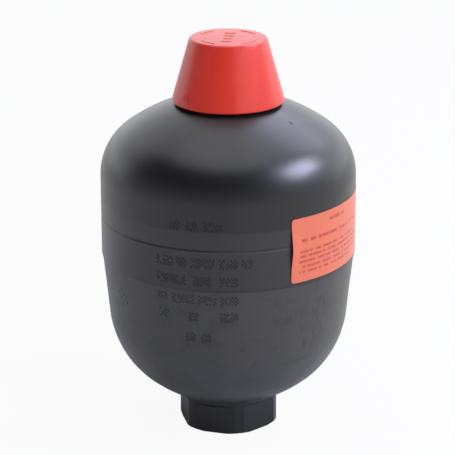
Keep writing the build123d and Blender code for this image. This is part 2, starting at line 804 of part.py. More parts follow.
with BuildPart() as sticker:
    with BuildSketch(Plane.XY.offset(SEAM_Z - STICKER_DROP - STICKER_HEIGHT / 2)):
        Circle(sticker_r + STICKER_T)
        Circle(sticker_r, mode=Mode.SUBTRACT)
    extrude(amount=STICKER_HEIGHT)
    with BuildSketch(sticker_plane):
        RectangleRounded(sticker_width, STICKER_HEIGHT, STICKER_CORNER_R)
    extrude(amount=BODY_R + RELIEF, mode=Mode.INTERSECT)
sticker.part.label = "sticker"
export_step(sticker.part, "parts/sticker.step")
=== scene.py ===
"""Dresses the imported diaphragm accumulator: painted shells, weld, thread, cap, film and light."""

import math
import random

import bmesh
import bpy
import numpy as np
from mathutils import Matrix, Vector, noise
from mathutils.bvhtree import BVHTree


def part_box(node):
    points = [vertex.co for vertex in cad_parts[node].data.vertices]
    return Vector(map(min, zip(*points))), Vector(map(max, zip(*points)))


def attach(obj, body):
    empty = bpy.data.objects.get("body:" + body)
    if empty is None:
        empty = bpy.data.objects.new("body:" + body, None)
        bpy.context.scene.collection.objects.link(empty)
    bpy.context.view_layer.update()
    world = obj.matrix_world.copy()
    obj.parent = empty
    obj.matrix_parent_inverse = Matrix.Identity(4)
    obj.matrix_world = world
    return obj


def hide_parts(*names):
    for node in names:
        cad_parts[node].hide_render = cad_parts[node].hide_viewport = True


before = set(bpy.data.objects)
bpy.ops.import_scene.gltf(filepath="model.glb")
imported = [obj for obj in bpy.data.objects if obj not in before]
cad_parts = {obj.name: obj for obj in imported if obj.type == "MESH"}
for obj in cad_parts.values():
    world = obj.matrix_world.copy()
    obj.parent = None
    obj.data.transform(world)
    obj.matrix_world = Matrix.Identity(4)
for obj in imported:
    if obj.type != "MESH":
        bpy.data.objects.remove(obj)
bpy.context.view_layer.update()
MM = 0.001

# ---------------------------------------------------------------- places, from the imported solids

# Lengths are in mm, or in metres where they are times MM and for the floor, camera and lamps. Turns are
# in degrees from the front towards +X.
SKIN_SINK = 0.045  # the painted skin lies this far inside its solid, so that raised lips stay in it
body_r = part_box("upper_shell")[1].x / MM
skin_r = body_r - SKIN_SINK
weld_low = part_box("lower_shell")[1].z / MM
weld_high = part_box("upper_shell")[0].z / MM
seam_z = (weld_low + weld_high) / 2
boss_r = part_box("gas_boss")[1].x / MM
cap_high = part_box("protective_cap")[1].z / MM
sticker_low, sticker_high = (v.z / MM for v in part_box("sticker"))

# ---------------------------------------------------------------- small helpers


def linear(code):
    """A colour in linear light, from its sRGB hex code."""
    parts = [int(code[i : i + 2], 16) / 255 for i in (1, 3, 5)]
    return tuple(c / 12.92 if c <= 0.04045 else ((c + 0.055) / 1.055) ** 2.4 for c in parts) + (1.0,)


def add(tree, kind, inputs=None, **settings):
    """Adds a node with its settings, and fills its inputs or links them, to a node's first output."""
    node = tree.nodes.new(kind)
    for key, value in settings.items():
        setattr(node, key, value)
    for key, value in (inputs or {}).items():
        if isinstance(value, bpy.types.Node):
            value = value.outputs[0]
        if isinstance(value, bpy.types.NodeSocket):
            tree.links.new(value, node.inputs[key])
        else:
            node.inputs[key].default_value = value
    return node


def along(a, b, step):
    """Points from a up to, but without, b."""
    count = max(1, round(math.dist(a, b) / step))
    return [(a[0] + (b[0] - a[0]) * i / count, a[1] + (b[1] - a[1]) * i / count) for i in range(count)]


def on_arc(centre, radius, turn):
    """The point of the half section at a turn of an arc, in degrees from straight out."""
    turn = math.radians(turn)
    return centre[0] + radius * math.cos(turn), centre[1] + radius * math.sin(turn)


def round_arc(centre, radius, start, end, step):
    """Points of an arc of the half section, without its end."""
    count = max(2, round(abs(math.radians(end - start)) * radius / step))
    return [on_arc(centre, radius, start + (end - start) * i / count) for i in range(count)]


def ripple(points, scale, seed):
    """Smooth noise between about -1 and 1 over points in mm."""
    shift = Vector((seed * 7.3, seed * 3.1, seed * 5.7))
    flat = points.reshape(-1, 3) / scale
    return np.array([noise.noise(Vector(p) + shift) for p in flat]).reshape(points.shape[:-1])


def swells(points, kinds):
    """Height in mm of an uneven surface; each kind of swell has a length, a height and a seed."""
    return sum(ripple(points, length, seed) * height for length, height, seed in kinds)


def keep_mesh(name, mesh, body, finish):
    """Puts a finished mesh in the scene, riding on a body."""
    piece = bpy.data.objects.new(name, mesh)
    bpy.context.scene.collection.objects.link(piece)
    mesh.materials.clear()
    mesh.materials.append(finish)
    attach(piece, body)
    return piece


def grid_mesh(name, points, sharp_rows, sharp_columns=(), sharp_reach=0):
    """A closed ring of four-sided faces over a grid of points in mm, facing outwards.

    Edges along sharp_rows are sharp, and from row sharp_reach on, so are those along sharp_columns.
    """
    rows, columns = points.shape[:2]
    index = np.arange(rows * columns).reshape(rows, columns)
    low = np.roll(index, -1, 0)
    quads = np.stack([index, low, np.roll(low, -1, 1), np.roll(index, -1, 1)], -1).reshape(-1, 4)
    flat = points.reshape(-1, 3) * MM
    corners = flat[quads]
    volume = np.einsum("ij,ij->i", corners[:, 0], np.cross(corners[:, 1], corners[:, 2])).sum()
    volume += np.einsum("ij,ij->i", corners[:, 0], np.cross(corners[:, 2], corners[:, 3])).sum()
    if volume < 0:
        quads = quads[:, ::-1]
    mesh = bpy.data.meshes.new(name)
    mesh.from_pydata(flat.tolist(), [], quads.tolist())
    mesh.shade_smooth()
    ends = np.zeros(len(mesh.edges) * 2, np.int32)
    mesh.edges.foreach_get("vertices", ends)
    row, column = np.divmod(ends.reshape(-1, 2), columns)
    sharp = (row[:, 0] == row[:, 1]) & np.isin(row[:, 0], list(sharp_rows))
    upright = (column[:, 0] == column[:, 1]) & (row.min(1) >= sharp_reach)
    sharp |= upright & np.isin(column[:, 0], list(sharp_columns))
    mesh.attributes.new("sharp_edge", "BOOLEAN", "EDGE").data.foreach_set("value", sharp)
    mesh.validate()
    return mesh


def store(mesh, name, values):
    """Keeps one number per point for a material to read."""
    mesh.attributes.new(name, "FLOAT", "POINT").data.foreach_set(
        "value", np.asarray(values, np.float32).ravel()
    )


def turn_list(windows, coarse):
    """Directions round the axis, in degrees from the front towards +X, closer together in the windows."""
    turns = set()
    for start, end, step in windows:
        turns.update(np.round(np.arange(start, end + step / 2, step), 4))
    for turn in np.arange(-180, 180, coarse):
        if not any(start - coarse / 2 < turn < end + coarse / 2 for start, end, _ in windows):
            turns.add(round(float(turn), 4))
    return np.array(sorted(turns))


# ---------------------------------------------------------------- punched marks, pits and dents

MARK_ROWS = 5  # rows of dots in one stamped line
ROW_PITCH = 0.86
DOT_PITCH = 1.6
DOT_R = 0.52
DOT_DEPTH = 0.36
DOT_SHARE = 0.86  # share of the dots that the punch has left
DOT_STRAY = 0.07  # most that a dot lies off its place
CELL = 2.75  # length of one cell of a field of dots
FIELD_END = 0.8  # bare length at the end of a field
LIP = 0.035  # most that the metal rises beside a dot
LIP_SHARE, LIP_AT, LIP_WIDTH = 0.16, 1.25, 0.3  # that lip: share of the depth; place and width in radii


def stamp_line(middle_z, start_turn, groups, seed, gap):
    """Dots (turn, height) of one stamped line: plain fields of staggered dots, cells long, with gaps."""
    pick = random.Random(seed)
    mm_turn = 180 / math.pi / body_r
    dots, start = [], 0.0
    for cells in groups:
        for row in range(MARK_ROWS):
            reach = start + (row % 2) * DOT_PITCH / 2
            while reach < start + cells * CELL - FIELD_END:
                if pick.random() < DOT_SHARE:
                    height = middle_z + (row - (MARK_ROWS - 1) / 2) * ROW_PITCH
                    height += pick.uniform(-DOT_STRAY, DOT_STRAY)
                    stray = pick.uniform(-DOT_STRAY, DOT_STRAY)
                    dots.append((start_turn + (reach + stray) * mm_turn, height))
                reach += DOT_PITCH
        start += (cells + gap) * CELL
    return dots


def press(points, places, spot_r, spot_depth):
    """Depth in mm pressed into a surface by equal round spots at places (turn, height)."""
    turn = np.degrees(np.arctan2(points[..., 0], -points[..., 1]))
    radius = np.hypot(points[..., 0], points[..., 1])
    depth = np.zeros(turn.shape)
    for spot_turn, height in places:
        away = np.hypot(np.radians(turn - spot_turn) * radius, points[..., 2] - height) / spot_r
        depth = np.maximum(depth, spot_depth * np.clip(1 - away**2, 0, 1))
        depth -= LIP_SHARE * spot_depth * np.exp(-(((away - LIP_AT) / LIP_WIDTH) ** 2))
    return depth


def joined(pieces):
    """One closed half section from its pieces, and the row at which each of them starts."""
    loop = [point for part in pieces for point in part]
    return loop, np.cumsum([0] + [len(part) for part in pieces])


def turned_points(loop, turns):
    """Grid of points for a half section turned round the axis."""
    profile = np.array(loop)
    angle = np.radians(turns)
    points = np.zeros((len(loop), len(turns), 3))
    points[..., 0] = profile[:, None, 0] * np.sin(angle)
    points[..., 1] = -profile[:, None, 0] * np.cos(angle)
    points[..., 2] = profile[:, None, 1]
    return points


def push_in(points, loop, depth):
    """Moves each point into the material by its depth, square to the half section."""
    profile = np.array(loop)
    way = np.roll(profile, -1, 0) - np.roll(profile, 1, 0)
    way /= np.linalg.norm(way, axis=1)[:, None]
    normal = np.stack([-way[:, 1], way[:, 0]], 1)
    shoelace = np.sum(profile[:, 0] * np.roll(profile[:, 1], -1) - np.roll(profile[:, 0], -1) * profile[:, 1])
    if shoelace > 0:
        normal = -normal
    radius = np.hypot(points[..., 0], points[..., 1])
    scale = (radius - normal[:, None, 0] * depth) / radius
    points[..., 0] *= scale
    points[..., 1] *= scale
    points[..., 2] -= normal[:, None, 1] * depth


# ---------------------------------------------------------------- finishes

# The kinds of node used most. Their inputs by number: 0, 1 and 2 of MATH are what it works on; 0 of
# RANGE is the value, 1 and 2 the range that it comes from, 3 and 4 the one that it goes to; 6 and 7 of
# MIX are two colours, and 2 and 3 two numbers.
MATH, RANGE, MIX = "ShaderNodeMath", "ShaderNodeMapRange", "ShaderNodeMix"
NOISE, JOIN, SPLIT = "ShaderNodeTexNoise", "ShaderNodeCombineXYZ", "ShaderNodeSeparateXYZ"


def new_finish(name, code, rough, metallic=0.0):
    """A material with its tree, its main shader and the piece's own coordinates in metres."""
    finish = bpy.data.materials.new(name)
    finish.use_nodes = True
    tree = finish.node_tree
    shader = tree.nodes["Principled BSDF"]
    shader.inputs["Base Color"].default_value = linear(code)
    shader.inputs["Roughness"].default_value = rough
    shader.inputs["Metallic"].default_value = metallic
    place = add(tree, "ShaderNodeTexCoord").outputs["Object"]
    return finish, tree, shader, place


def coat(tree, shader, colour, rough, height, depth):
    """Gives the main shader a colour and gloss that vary, and a relief of a depth in metres."""
    bump = add(tree, "ShaderNodeBump", {"Height": height, "Distance": depth, "Strength": 1.0})
    tree.links.new(colour.outputs[2], shader.inputs["Base Color"])
    tree.links.new(bump.outputs[0], shader.inputs["Normal"])
    if rough:
        tree.links.new(rough.outputs[0], shader.inputs["Roughness"])


# Satin black air-drying enamel, sprayed: deep black with a soft wide gloss. A faint orange peel of
# about 1.5 mm shows in the gloss. On the forged half the metal's grain of about 2 mm shows through it
# and it is painted paler in patches, as are the turned bands and the weld; the rounded edge by the weld
# is painted lighter still, a painted highlight. The punched dots, pits, crease and drawn streaks are
# painted near black as painted shade in their hollows, and are matt.
enamel, tree, shader, place = new_finish("Satin black enamel", "#1b1b1d", 0.34)
forged = add(tree, "ShaderNodeAttribute", attribute_name="forged").outputs["Fac"]
recess_shade = add(tree, "ShaderNodeAttribute", attribute_name="recess_shade").outputs["Fac"]
peel = add(tree, NOISE, {"Vector": place, "Scale": 1 / (1.5 * MM), "Detail": 2.0})
grain = add(tree, NOISE, {"Vector": place, "Scale": 1 / (2.2 * MM), "Detail": 5.0, "Roughness": 0.65})
cloud = add(tree, NOISE, {"Vector": place, "Scale": 1 / (7 * MM), "Detail": 6.0, "Roughness": 0.7})
grain_depth = add(tree, MATH, {0: forged, 1: 0.09 * MM}, operation="MULTIPLY")
grain_part = add(tree, MATH, {0: grain, 1: grain_depth}, operation="MULTIPLY")
peel_part = add(tree, MATH, {0: peel, 1: 0.004 * MM}, operation="MULTIPLY")
relief = add(tree, MATH, {0: grain_part, 1: peel_part}, operation="ADD")
pale_tone = add(tree, "ShaderNodeAttribute", attribute_name="pale_tone").outputs["Fac"]
blotch = add(tree, MATH, {0: cloud, 1: 2.4, 2: -1.2}, operation="MULTIPLY_ADD")
# paler in random patches on the forged half, paler on the bands and the weld, and lightest on the rounded
# edge by the weld, a painted highlight
patchy = add(tree, MATH, {0: blotch, 1: forged, 2: pale_tone}, operation="MULTIPLY_ADD")
tone = add(tree, MIX, {"Factor": patchy, 6: linear("#131315"), 7: linear("#323235")}, data_type="RGBA")
# painted shade: the punched dots, pits, crease and drawn streaks are darkened towards near black
dark = add(tree, MIX, {"Factor": recess_shade, 6: tone.outputs[2], 7: linear("#020203")}, data_type="RGBA")
matt = add(tree, RANGE, {0: cloud, 1: 0.3, 2: 0.7, 3: 0.315, 4: 0.365})
matt_forged = add(tree, MATH, {0: forged, 1: 0.07, 2: matt}, operation="MULTIPLY_ADD")
matt_all = add(tree, MATH, {0: recess_shade, 1: 0.4, 2: matt_forged}, operation="MULTIPLY_ADD")
coat(tree, shader, dark, matt_all, relief, 1.0)

# Injection-moulded red polyethylene: even colour and waxy gloss with faint upright flow lines, and a
# very fine spark-eroded texture.
red_plastic, tree, shader, place = new_finish("Red moulded polyethylene", "#c52c1d", 0.3)
texture = add(tree, NOISE, {"Vector": place, "Scale": 1 / (0.6 * MM), "Detail": 2.0})
drawn = add(tree, "ShaderNodeMapping", {"Vector": place, "Scale": (1.0, 1.0, 0.12)})
flow = add(tree, NOISE, {"Vector": drawn, "Scale": 1 / (2.5 * MM), "Detail": 3.0})
tone = add(tree, MIX, {"Factor": flow, 6: linear("#c2281a"), 7: linear("#c92f1e")}, data_type="RGBA")
matt = add(tree, RANGE, {0: flow, 1: 0.0, 2: 1.0, 3: 0.24, 4: 0.38})
coat(tree, shader, tone, matt, texture, 0.006 * MM)


def turned_metal(name, code, rough, ring_mm, depth_mm, stain="#6f6a62", amount=0.12):
    """A bare metal turned on a lathe: fine rings round the axis, and a little staining."""
    finish, tree, shader, place = new_finish(name, code, rough, 1.0)
    split = add(tree, SPLIT, {"Vector": place})
    flat = add(tree, JOIN, {"X": split.outputs["X"], "Y": split.outputs["Y"]})
    radius = add(tree, "ShaderNodeVectorMath", {0: flat}, operation="LENGTH")
    reach = add(tree, MATH, {0: radius.outputs["Value"], 1: split.outputs["Z"]}, operation="ADD")
    phase = add(tree, MATH, {0: reach, 1: 2 * math.pi / (ring_mm * MM)}, operation="MULTIPLY")
    wave = add(tree, MATH, {0: phase}, operation="SINE")
    patch = add(tree, NOISE, {"Vector": place, "Scale": 1 / (5 * MM), "Detail": 4.0})
    ramp = add(tree, RANGE, {0: patch, 1: 0.45, 2: 0.75, 3: 0.0, 4: amount})
    tone = add(tree, MIX, {"Factor": ramp, 6: linear(code), 7: linear(stain)}, data_type="RGBA")
    matt = add(tree, RANGE, {0: patch, 1: 0.3, 2: 0.7, 3: rough - 0.05, 4: rough + 0.08})
    coat(tree, shader, tone, matt, wave, depth_mm * MM)
    return finish


def moulded(name, code, other, rough, grain_mm, depth_mm):
    """A moulded rubber or polymer: even colour with a fine mould texture."""
    finish, tree, shader, place = new_finish(name, code, rough)
    texture = add(tree, NOISE, {"Vector": place, "Scale": 1 / (grain_mm * MM), "Detail": 3.0})
    cloud = add(tree, NOISE, {"Vector": place, "Scale": 1 / (9 * MM), "Detail": 3.0})
    tone = add(tree, MIX, {"Factor": cloud, 6: linear(code), 7: linear(other)}, data_type="RGBA")
    matt = add(tree, RANGE, {0: cloud, 1: 0.3, 2: 0.7, 3: rough - 0.05, 4: rough + 0.05})
    coat(tree, shader, tone, matt, texture, depth_mm * MM)
    return finish


# Bright zinc plate with a clear passivation over turned steel: pale, slightly blue, soft gloss.
zinc = turned_metal("Bright zinc plate", "#b4bac3", 0.26, 0.35, 0.004, "#8d949c", 0.3)
# Free-cutting steel as it leaves the lathe, with an oil film that darkens it in patches.
turned_steel = turned_metal("Turned steel", "#8e8d8b", 0.3, 0.45, 0.006)
# The thread inside the port: cut steel, oiled, darker than the dry faces.
thread_steel = turned_metal("Oiled cut thread", "#77767a", 0.26, 0.3, 0.003, "#3c3936", 0.4)
# Turned brass of the valve core: warm yellow, fine tool rings.
brass = turned_metal("Turned brass", "#c79f58", 0.27, 0.25, 0.003, "#8c6a36", 0.25)
# Drawn spring wire: smooth and grey, with die lines too fine to show, so nearly flat.
spring_wire = turned_metal("Drawn spring wire", "#8f9296", 0.3, 0.2, 0.002)
# Nitrile rubber of the diaphragm and the seals: near black, dry and matt from the mould.
nitrile = moulded("Moulded nitrile rubber", "#161617", "#1e1e1f", 0.62, 0.5, 0.01)
# Machined white fluoropolymer of the backup ring and the core's seal: waxy white.
white_ring = moulded("White fluoropolymer", "#dcdcd6", "#e6e6e1", 0.45, 0.4, 0.004)

# the solids that aren't painted, by finish
UNPAINTED = [
    (turned_steel, "gas_boss clamp_ring closing_button button_washer"),
    (zinc, "valve_body valve_cap"),
    (brass, "core_plug core_barrel core_pin"),
    (spring_wire, "core_spring"),
    (nitrile, "diaphragm valve_body_seal poppet_seal valve_cap_washer"),
    (white_ring, "backup_ring core_barrel_seal"),
    (red_plastic, "protective_cap"),
]
finishes = {name: finish for finish, names in UNPAINTED for name in names.split()}
for name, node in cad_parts.items():
    node.data.materials.clear()
    node.data.materials.append(finishes.get(name, enamel))

# ---------------------------------------------------------------- half sections of the shells

SINK = 0.52  # the upper shell's edge at the weld lies this far under the skin
RING_BORE = body_r - 4.5  # bore that holds the clamp ring, in both halves
RING_TOP = seam_z + 4.8
TOOL_LINE = seam_z + 8.2  # where the turned band above the weld ends
LINE_DEEP = 0.03
EDGE = 0.4  # half width of that line, and the step under the lower band
WELD_EDGE = 0.2  # height of the slope from the weld up to the skin

# upper shell: the centre of its knuckle is REACH from the axis, the centre of its crown DROP under it
UPPER_REACH, UPPER_RISE, UPPER_DROP = 31.3, 18.3, 42.52
UPPER_WALL = 4.9
UPPER_KNUCKLE = (UPPER_REACH, seam_z + UPPER_RISE)
UPPER_CROWN = (0.0, UPPER_KNUCKLE[1] - UPPER_DROP)
UPPER_KNUCKLE_R = body_r - UPPER_KNUCKLE[0]
UPPER_CROWN_R = UPPER_KNUCKLE_R + math.hypot(UPPER_REACH, UPPER_DROP)
UPPER_TURN = math.degrees(math.atan2(UPPER_DROP, UPPER_REACH))
HOLE_GAP = 0.05  # between the boss and its hole
HOLE_ROOT = 1.0  # height of the straight part of that hole
WELD_REACH = 2.8  # from the boss to the foot of its weld
STAMPS_END = 113.8  # top of the stamped line, and of the close rows of points for it
PIT_FROM, PIT_TO = 63.8, 65.3  # the same round the pit, as turns of the crown's arc

# lower shell: as above, with a forged taper down to the knuckle
LOWER_REACH, LOWER_DROP, POLE_Z = 11.2, 13.6, 11.16
LOWER_WALL = 5.0
TAPER = 5.96  # degrees
STEP_Z = seam_z - 17.5  # foot of the turned band below the weld
TAPER_TOP = (body_r - EDGE, STEP_Z - EDGE)
LIP_R = 0.36  # rounding of the shell's upper edge, which catches light beside the weld
LEDGE_DROP = 20.7  # from the seam down to the ledge for the diaphragm's bead
FINE_TURN = -14.0  # the dents and stamps end above this turn of the knuckle
LOWER_CENTRES = math.hypot(LOWER_REACH, LOWER_DROP)
pole_drop = TAPER_TOP[1] - POLE_Z + LOWER_DROP - LOWER_CENTRES
slope, lean = math.tan(math.radians(TAPER)), math.cos(math.radians(TAPER))
taper_reach = lean * (TAPER_TOP[0] - LOWER_REACH - pole_drop * slope)
LOWER_KNUCKLE_R = taper_reach / (1 - math.sin(math.radians(TAPER)))
LOWER_CROWN_R = LOWER_KNUCKLE_R + LOWER_CENTRES
LOWER_CROWN = (0.0, POLE_Z + LOWER_CROWN_R)
LOWER_KNUCKLE = (LOWER_REACH, LOWER_CROWN[1] - LOWER_DROP)
LOWER_TURN = -math.degrees(math.atan2(LOWER_DROP, LOWER_REACH))

# how much paler the upper turned band and the weld, and the lower band, are painted, and how much
# lighter its rounded edge is painted, a painted highlight
BAND_PALE, LOW_BAND_PALE, EDGE_HIGHLIGHT = 0.42, 0.4, 1.5

# oil port: a turned neck with six flats, the thread, and the passage to the chamber
PORT_FLAT = 20.5  # half of the width across flats
PORT_R = 22.5
PORT_EDGE = 1.3
PORT_TURN = -17.0  # direction that the first flat faces
BLEND_R = 2.0  # between the bowl and the neck
NECK_FINE = 2.4  # length of the neck in which the flats run out
FLAT_OVER, FLAT_FADE = 0.4, 2.2  # the flats fade out over the second, from the first above the neck
THREAD_MINOR = 9.3155
THREAD_MAJOR = 10.48
THREAD_PITCH = 1.814
THREAD_TURNS = 7.5
THREAD_DEEP = 16.0
THREAD_EDGE = 0.14
CONE_DEEP = 1.66  # the drill's cone below the thread
PASSAGE_R = 6.0
PASSAGE_EDGE = 0.8
CHAMBER_FLOOR = 20.5


def crown_end(radius, reach):
    """Turn at which a crown arc comes to a radius from the axis."""
    return math.degrees(math.acos(reach / radius))


# ---------------------------------------------------------------- upper shell

hole_r = boss_r + HOLE_GAP
skin_crown_r = UPPER_CROWN_R - SKIN_SINK
inner_r = UPPER_CROWN_R - UPPER_WALL
outer_end = crown_end(UPPER_CROWN_R, boss_r + WELD_REACH)
inner_end = crown_end(inner_r, hole_r)
root_z = UPPER_CROWN[1] + math.sqrt(inner_r**2 - hole_r**2) + HOLE_ROOT
top_point = on_arc(UPPER_CROWN, skin_crown_r, outer_end)
# its closed half section, from the weld up and back down inside; the last number is the points' spacing
pieces = [
    along((RING_BORE, weld_high), (skin_r - SINK, weld_high), 2.5),
    along((skin_r - SINK, weld_high), (skin_r, weld_high + WELD_EDGE), 0.2),
    along((skin_r, weld_high + WELD_EDGE), (skin_r, TOOL_LINE - EDGE), 1.2),
    along((skin_r, TOOL_LINE - EDGE), (skin_r - LINE_DEEP, TOOL_LINE), 0.2),
    along((skin_r - LINE_DEEP, TOOL_LINE), (skin_r, TOOL_LINE + EDGE), 0.2),
    along((skin_r, TOOL_LINE + EDGE), (skin_r, STAMPS_END), 0.27),
    along((skin_r, STAMPS_END), (skin_r, UPPER_KNUCKLE[1]), 1.0),
    round_arc(UPPER_KNUCKLE, UPPER_KNUCKLE_R - SKIN_SINK, 0, UPPER_TURN, 1.0),
    round_arc(UPPER_CROWN, skin_crown_r, UPPER_TURN, PIT_FROM, 0.9),
    round_arc(UPPER_CROWN, skin_crown_r, PIT_FROM, PIT_TO, 0.2),
    round_arc(UPPER_CROWN, skin_crown_r, PIT_TO, outer_end, 0.7),
    along(top_point, (hole_r, root_z), 1.5),
    along((hole_r, root_z), (hole_r, root_z - HOLE_ROOT), 1.5),
    round_arc(UPPER_CROWN, inner_r, inner_end, UPPER_TURN, 3.0),
    round_arc(UPPER_KNUCKLE, UPPER_KNUCKLE_R - UPPER_WALL, UPPER_TURN, 0, 3.0),
    along((body_r - UPPER_WALL, UPPER_KNUCKLE[1]), (body_r - UPPER_WALL, RING_TOP), 4.0),
    along((body_r - UPPER_WALL, RING_TOP), (RING_BORE, RING_TOP), 1.0),
    along((RING_BORE, RING_TOP), (RING_BORE, weld_high), 2.0),
]
loop, starts = joined(pieces)
# the pieces that begin at a corner of the section
sharp_rows = [starts[i] for i in (0, 1, 2, 11, 12, 13, 15, 16, 17)]
turns = turn_list([(-28.0, 5.0, 0.3), (52.7, 54.7, 0.35)], 2.0)
points = turned_points(loop, turns)
rows = np.arange(len(loop))
outer = (rows > starts[2]) & (rows < starts[11])
dots = stamp_line(110.9, -25.6, [2, 2, 3], 11, 0.8)
UPPER_DEPTH = DOT_DEPTH * 0.8  # the upper line is punched less deep
depth = press(points, dots, DOT_R, UPPER_DEPTH)
DOME_PIT_R, DOME_PIT_DEPTH = 0.45, 0.28
pit = press(points, [(53.7, 146.35)], DOME_PIT_R, DOME_PIT_DEPTH)
UPPER_SWELLS = [(30.0, 0.03, 3)]
wave = swells(points, UPPER_SWELLS)
push_in(points, loop, np.maximum(depth + pit + wave, -LIP) * outer[:, None])
mesh = grid_mesh("upper_shell_painted", points, sharp_rows)
# painted shade in the punched dots and the pit on the dome
store(mesh, "recess_shade", np.clip(depth / DOT_DEPTH + pit * 3, 0, 1) * outer[:, None])
band = np.clip((TOOL_LINE + 0.5 - np.array(loop)[:, 1]) / 0.8, 0, 1) * BAND_PALE
store(mesh, "pale_tone", np.repeat(band[:, None], len(turns), 1))
upper = keep_mesh("upper_shell_painted", mesh, "vessel", enamel)
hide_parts("upper_shell")

# ---------------------------------------------------------------- lower shell and its hexagon

inner_r = LOWER_CROWN_R - LOWER_WALL
blend_drop = math.sqrt((LOWER_CROWN_R + BLEND_R) ** 2 - (PORT_R + BLEND_R) ** 2)
blend_centre = (PORT_R + BLEND_R, LOWER_CROWN[1] - blend_drop)
bowl_end = -crown_end(LOWER_CROWN_R + BLEND_R, PORT_R + BLEND_R)
chamber_r = math.sqrt(inner_r**2 - (LOWER_CROWN[1] - CHAMBER_FLOOR) ** 2)
chamber_end = -crown_end(inner_r, chamber_r)
edge_h = PORT_EDGE * math.tan(math.radians(30))
knuckle_start = on_arc(LOWER_KNUCKLE, LOWER_KNUCKLE_R, -TAPER)
inner_start = on_arc(LOWER_KNUCKLE, LOWER_KNUCKLE_R - LOWER_WALL, -TAPER)
passage_top = CHAMBER_FLOOR - PASSAGE_EDGE
ledge_z = seam_z - LEDGE_DROP
ledge_r = TAPER_TOP[0] - (TAPER_TOP[1] - ledge_z) * slope - LOWER_WALL / lean
flat_top = blend_centre[1] + FLAT_OVER
# its closed half section, from the weld down, in through the port and back up inside
pieces = [
    along((RING_BORE, weld_low), (skin_r - LIP_R, weld_low), 2.5),
    round_arc((skin_r - LIP_R, weld_low - LIP_R), LIP_R, 90, 0, 0.08),
    along((skin_r, weld_low - LIP_R), (skin_r, STEP_Z), 0.3),
    along((skin_r, STEP_Z), TAPER_TOP, 0.3),
    along(TAPER_TOP, knuckle_start, 0.34),
    round_arc(LOWER_KNUCKLE, LOWER_KNUCKLE_R, -TAPER, FINE_TURN, 0.36),
    round_arc(LOWER_KNUCKLE, LOWER_KNUCKLE_R, FINE_TURN, LOWER_TURN, 0.95),
    round_arc(LOWER_CROWN, LOWER_CROWN_R, LOWER_TURN, bowl_end, 1.3),
    round_arc(blend_centre, BLEND_R, 180 + bowl_end, 180, 0.4),
    along((PORT_R, blend_centre[1]), (PORT_R, blend_centre[1] - NECK_FINE), 0.3),
    along((PORT_R, blend_centre[1] - NECK_FINE), (PORT_R, edge_h), 1.6),
    along((PORT_R, edge_h), (PORT_R - PORT_EDGE, 0.0), 0.2),
    along((PORT_R - PORT_EDGE, 0.0), (THREAD_MAJOR + THREAD_EDGE, 0.0), 3.0),
    along((THREAD_MAJOR + THREAD_EDGE, 0.0), (THREAD_MAJOR, THREAD_EDGE), 0.3),
    along((THREAD_MAJOR, THREAD_EDGE), (THREAD_MAJOR, THREAD_DEEP), 4.0),
    along((THREAD_MAJOR, THREAD_DEEP), (PASSAGE_R, THREAD_DEEP + CONE_DEEP), 2.0),
    along((PASSAGE_R, THREAD_DEEP + CONE_DEEP), (PASSAGE_R, passage_top), 2.0),
    along((PASSAGE_R, passage_top), (PASSAGE_R + PASSAGE_EDGE, CHAMBER_FLOOR), 2.0),
    along((PASSAGE_R + PASSAGE_EDGE, CHAMBER_FLOOR), (chamber_r, CHAMBER_FLOOR), 4.0),
    round_arc(LOWER_CROWN, inner_r, chamber_end, LOWER_TURN, 4.0),
    round_arc(LOWER_KNUCKLE, LOWER_KNUCKLE_R - LOWER_WALL, LOWER_TURN, -TAPER, 4.0),
    along(inner_start, (ledge_r, ledge_z), 5.0),
    along((ledge_r, ledge_z), (RING_BORE, ledge_z), 3.0),
    along((RING_BORE, ledge_z), (RING_BORE, weld_low), 5.0),
]
loop, starts = joined(pieces)
# the pieces that begin at a corner of the section
sharp_rows = [starts[i] for i in (0, 3, 4, 11, 12, 13, 14, 15, 16, 17, 18, 19, 22, 23)]
corner = math.degrees(math.acos(PORT_FLAT / PORT_R))
flats = [PORT_TURN + 60 * k for k in range(6)]
EDGE_CLEAR = 0.12  # no other column lies this near to the column on an edge
edges = [((flat + side * corner + 180) % 360) - 180 for flat in flats for side in (-1, 1)]
# close together across the stamps, the pits and the dents; a column lies on each edge of a flat
close_turns = [(-34.5, 20.1, 0.32), (-63.0, -54.0, 0.45), (30.3, 54.3, 0.46), (20.4, 30.0, 1.6)]
turns = turn_list(close_turns, 3.6)
turns = np.array(sorted(set(t for t in turns if min(abs(t - e) for e in edges) > EDGE_CLEAR) | set(edges)))
edge_columns = [int(np.argmin(abs(turns - e))) for e in edges]
points = turned_points(loop, turns)

# the hexagon: each flat cuts the turned port back to its own plane
off_flat = np.abs((turns[None, :] - np.array(flats)[:, None] + 180) % 360 - 180).min(0)
flat_reach = PORT_FLAT / np.cos(np.radians(off_flat))
for row in range(starts[8], starts[12] + 1):
    fade = min(1.0, max(0.0, (flat_top - loop[row][1]) / FLAT_FADE))
    cut = np.minimum(1.0, flat_reach / loop[row][0]) - 1
    points[row, :, :2] *= 1 + (cut * fade * fade * (3 - 2 * fade))[:, None]

rows = np.arange(len(loop))
